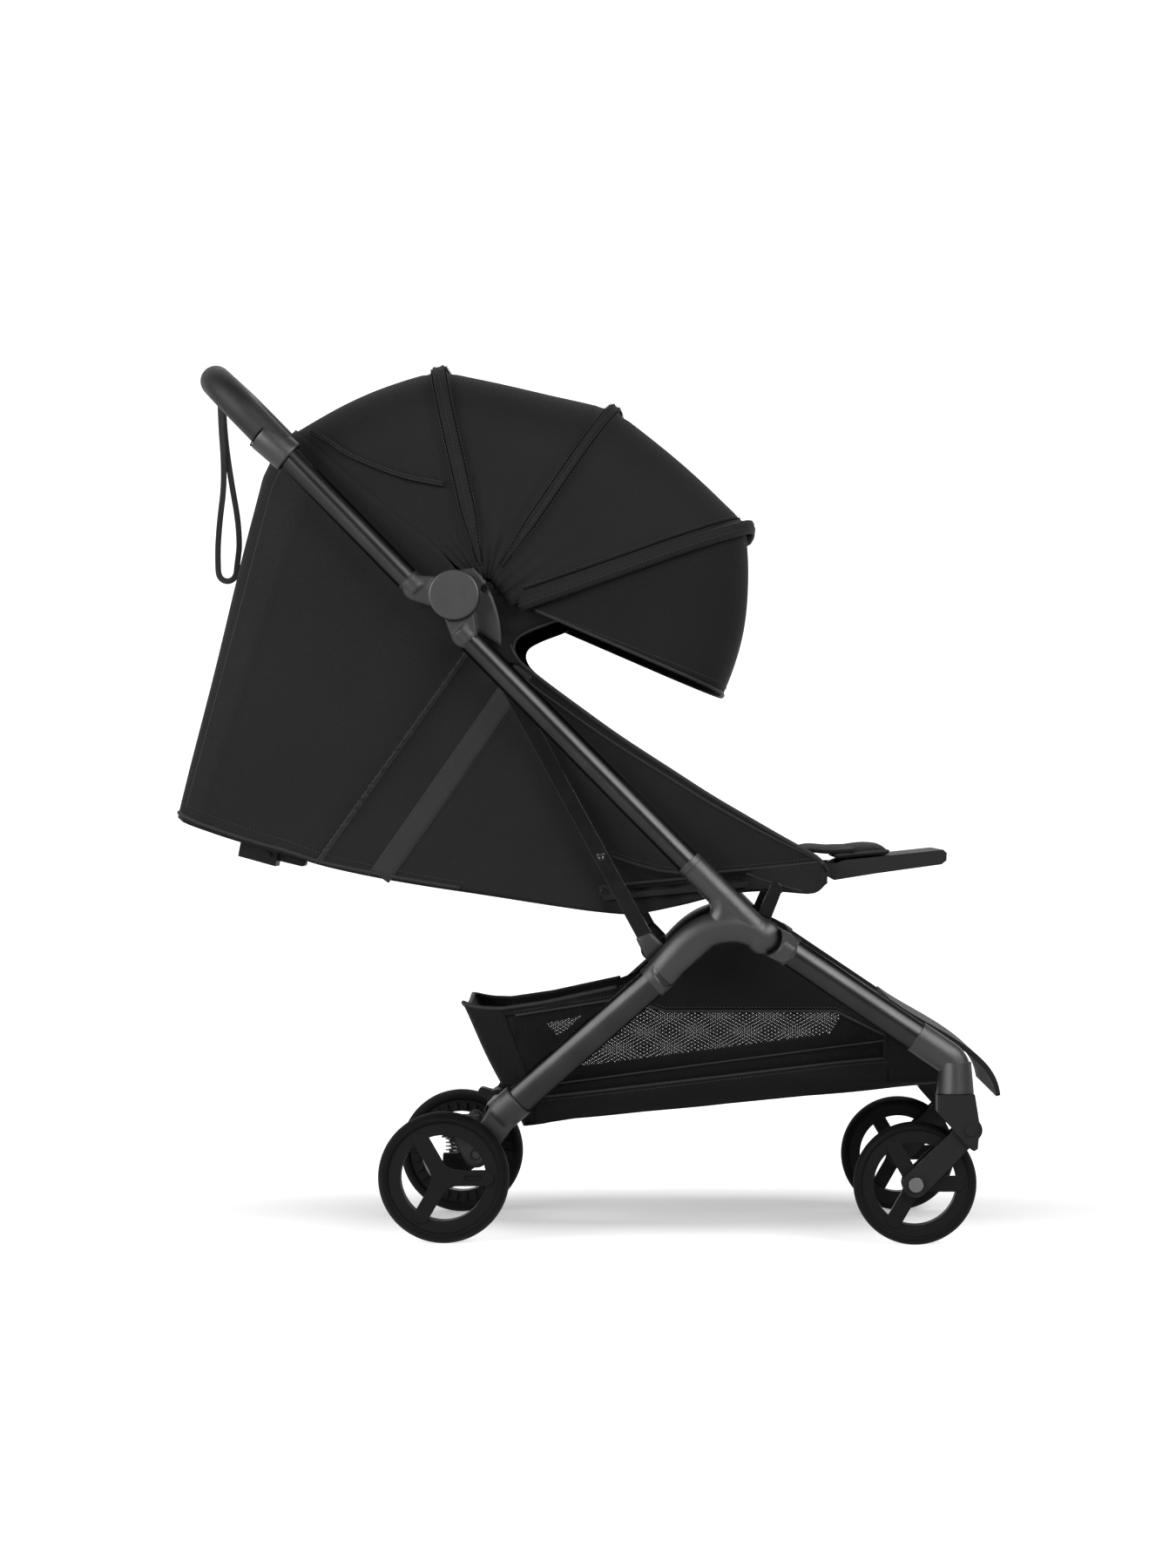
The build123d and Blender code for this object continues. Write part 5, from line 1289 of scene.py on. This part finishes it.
NETS = {"right": [], "left": []}
for nm, sy, slant, pitch, bar in (("right", -1.0, 57.0, 0.00260, 0.00088), ("left", 1.0, 28.0, 0.00420, 0.00130)):
    for o in (net(f"basket_net_{nm}", -0.086, 0.350, lambda x: mesh_lines(x)[1], lambda x: mesh_lines(x)[0], pitch, bar, slant, sy),
              net(f"basket_net_band_{nm}", -0.058, 0.344, lambda x: mesh_lines(x)[2], lambda x: mesh_lines(x)[1], pitch, bar, slant, sy)):
        weigh(o, basket_weights(points_of(o)))
        NETS[nm].append(o)
# rear wall and its rounded corners
RT, RB = np.array([(-0.1462, 0.2735), (-0.1250, 0.2685), (-0.0990, 0.2672)]), np.array([(-0.0755, 0.1290), (-0.0640, 0.1310), (-0.0480, 0.1335)])
cols = []
tl = np.linspace(0, 1, 20)
for f in np.linspace(1, 0, 12):
    top, bot = smooth_line(RT, 12)[int(round(f * 11))], smooth_line(RB, 12)[int(round(f * 11))]
    xz = bot[None] * (1 - tl[:, None]) + top[None] * tl[:, None]
    y = 0.1265 - 0.012 * (1 - sstep(0, 0.16, tl)) - 0.022 * (1 - math.sqrt(1 - (1 - f) ** 2))
    cols.append(np.stack([xz[:, 0], -y, xz[:, 1]], 1))
for s in np.linspace(1, 0, 14)[1:]:
    q = cols[11].copy()
    q[:, 1] *= s
    q[:, 0] += 0.006 * (1 - s ** 2) * np.sin(math.pi * tl)
    q[:, 2] -= 0.008 * (1 - s ** 2) * tl ** 2
    cols.append(q)
RW = np.array(cols)
RW = np.concatenate([RW, RW[-2::-1] * np.array([1, -1, 1])], 0)
RW = RW + np.array([0.9, 0, 0.43]) * (0.0014 * ripple(RW.reshape(-1, 3), 8.0, 23).reshape(RW.shape[:2]) * np.sin(math.pi * tl)[None])[:, :, None]
rear_wall = sheet_obj("basket_rear_wall", RW, M_BASKET, 0.0016, offset=0.0)
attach(rear_wall, "chassis"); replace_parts(rear_wall, "basket_rear")
declare(rear_wall)
# floor of the basket
fx = np.linspace(-0.0755, 0.4105, 80)
yy = np.linspace(-1, 1, 34)
FL = np.zeros((80, 34, 3))
for i, x in enumerate(fx):
    FL[i, :, 0] = x
    FL[i, :, 1] = yy * 0.1145
    FL[i, :, 2] = float(low_edge(np.array([x]))[0]) - 0.0022 * (1 - yy ** 2)
FL[:, :, 2] += 0.0010 * ripple(FL.reshape(-1, 3), 8.0, 29).reshape(80, 34) + 0.0006
floor_cloth = sheet_obj("basket_floor", FL, M_BASKET, 0.0016, offset=0.0)
weigh(floor_cloth, basket_weights(points_of(floor_cloth)))
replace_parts(floor_cloth, "basket_front")
declare(floor_cloth)
for k, tag in ((a, "a"), (b, "b")):
    declare(k)
for k, nm in zip(lower_pair, SIDES):
    declare(k)
# bindings
xs = np.linspace(-0.100, 0.0340, 60)
p = np.stack([xs, -wall_y(xs, top_edge(xs)) - 0.0006, top_edge(xs) + 0.0006], 1)
rim_r = np.vstack([p[::-1], np.stack([RW[:len(cols), -1][k] + np.array([0, 0, 0.0006]) for k in range(1, len(cols))])])
o = tube("basket_rim_binding", resample(np.vstack([rim_r, rim_r[-2::-1] * np.array([1, -1, 1])]), 0.006), 0.0026, M_BIND, 10)
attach(o, "chassis")
for nm, k, rr in (("net_top", 0, 0.0016), ("net_low", 1, 0.0012), ("band_top", 2, 0.0016)):
    xs = np.linspace(-0.060 if k == 2 else -0.084, 0.350, 140)
    z = mesh_lines(xs)[k]
    p = np.stack([xs, -wall_y(xs, z) - 0.0008, z], 1)
    basket_pair(tube(f"basket_{nm}_right", resample(p, 0.006), rr, M_BIND, 8), f"basket_{nm}_left")
    p2 = p.copy()
    p2[:, 2] += 0.0045 if k == 0 else -0.0045
    if k != 1:
        basket_pair(stitches(f"basket_{nm}_stitch_right", p2 + np.array([0, -0.0004, 0]), np.tile([0, -1.0, 0], (140, 1))), f"basket_{nm}_stitch_left")

# ---------------------------------------------------------------- stage and light
fl = []
fyy = np.r_[np.linspace(-6, 3.0, 2), 3.0 + 2.2 * np.sin(np.linspace(0, math.pi / 2, 14))[1:], [5.2]]
fzz = np.r_[np.zeros(2), 2.2 - 2.2 * np.cos(np.linspace(0, math.pi / 2, 14))[1:], [9.0]]
xs = np.linspace(-8, 8, 3)
ST = np.stack(np.meshgrid(xs, np.arange(len(fyy)), indexing="ij"), 2)
STP = np.stack([ST[:, :, 0], fyy[ST[:, :, 1].astype(int)], fzz[ST[:, :, 1].astype(int)]], 2)
m, nt, bs = new_mat("stage")
blot = noise(nt, coords(nt), 3.0, 2)
bs.inputs["Roughness"].default_value = 0.8
bs.inputs["Emission Color"].default_value = (1, 1, 1, 1)
# the floor glows so it reads white, but glows less under and just behind the stroller: a painted shadow on the floor
geo = node(nt, "ShaderNodeNewGeometry")
shift = node(nt, "ShaderNodeVectorMath", operation="MULTIPLY_ADD")
shift.inputs[1].default_value = (1.0, 2.3, 0.0)
shift.inputs[2].default_value = (-0.08, -0.42, 0.0)
nt.links.new(geo.outputs["Position"], shift.inputs[0])
painted_shadow_dist = node(nt, "ShaderNodeVectorMath", operation="LENGTH")
nt.links.new(shift.outputs[0], painted_shadow_dist.inputs[0])
nt.links.new(rng_map(nt, painted_shadow_dist.outputs["Value"], 0.26, 0.80, 0.32, 0.95), bs.inputs["Emission Strength"])
nt.links.new(two_tone(nt, blot, (0.29, 0.29, 0.29), (0.31, 0.31, 0.31)), bs.inputs["Base Color"])
stage = add_obj("stage", STP.reshape(-1, 3), grid_faces(*STP.shape[:2]), m)


def area_light(name, loc, target, size, power, size_y=None):
    l = bpy.data.lights.new(name, "AREA")
    l.energy = power
    l.size = size
    if size_y:
        l.shape = "RECTANGLE"
        l.size_y = size_y
    o = bpy.data.objects.new(name, l)
    scene.collection.objects.link(o)
    o.location = loc
    d = Vector(target) - Vector(loc)
    o.rotation_euler = d.to_track_quat("-Z", "Y").to_euler()
    return o


area_light("strip_left", (-2.4, -1.7, 1.6), (-0.1, -0.1, 0.4), 2.6, 135, 1.7)
area_light("strip_right", (2.2, -1.7, 2.2), (0.1, -0.1, 0.5), 2.8, 130, 1.2)
area_light("fill_left", (-1.75, -2.9, 1.15), (0.0, -0.1, 0.35), 1.3, 52, 1.2)
area_light("fill_right", (1.45, -2.95, 1.75), (0.1, -0.1, 0.5), 1.3, 52, 1.0)
area_light("back_wash", (0.0, 2.0, 3.4), (0, 4.6, 0.6), 4.0, 130, 1.5)
world = bpy.data.worlds.new("world")
scene.world = world
world.use_nodes = True
world.node_tree.nodes["Background"].inputs[0].default_value = (1, 1, 1, 1)
world.node_tree.nodes["Background"].inputs[1].default_value = 0.20
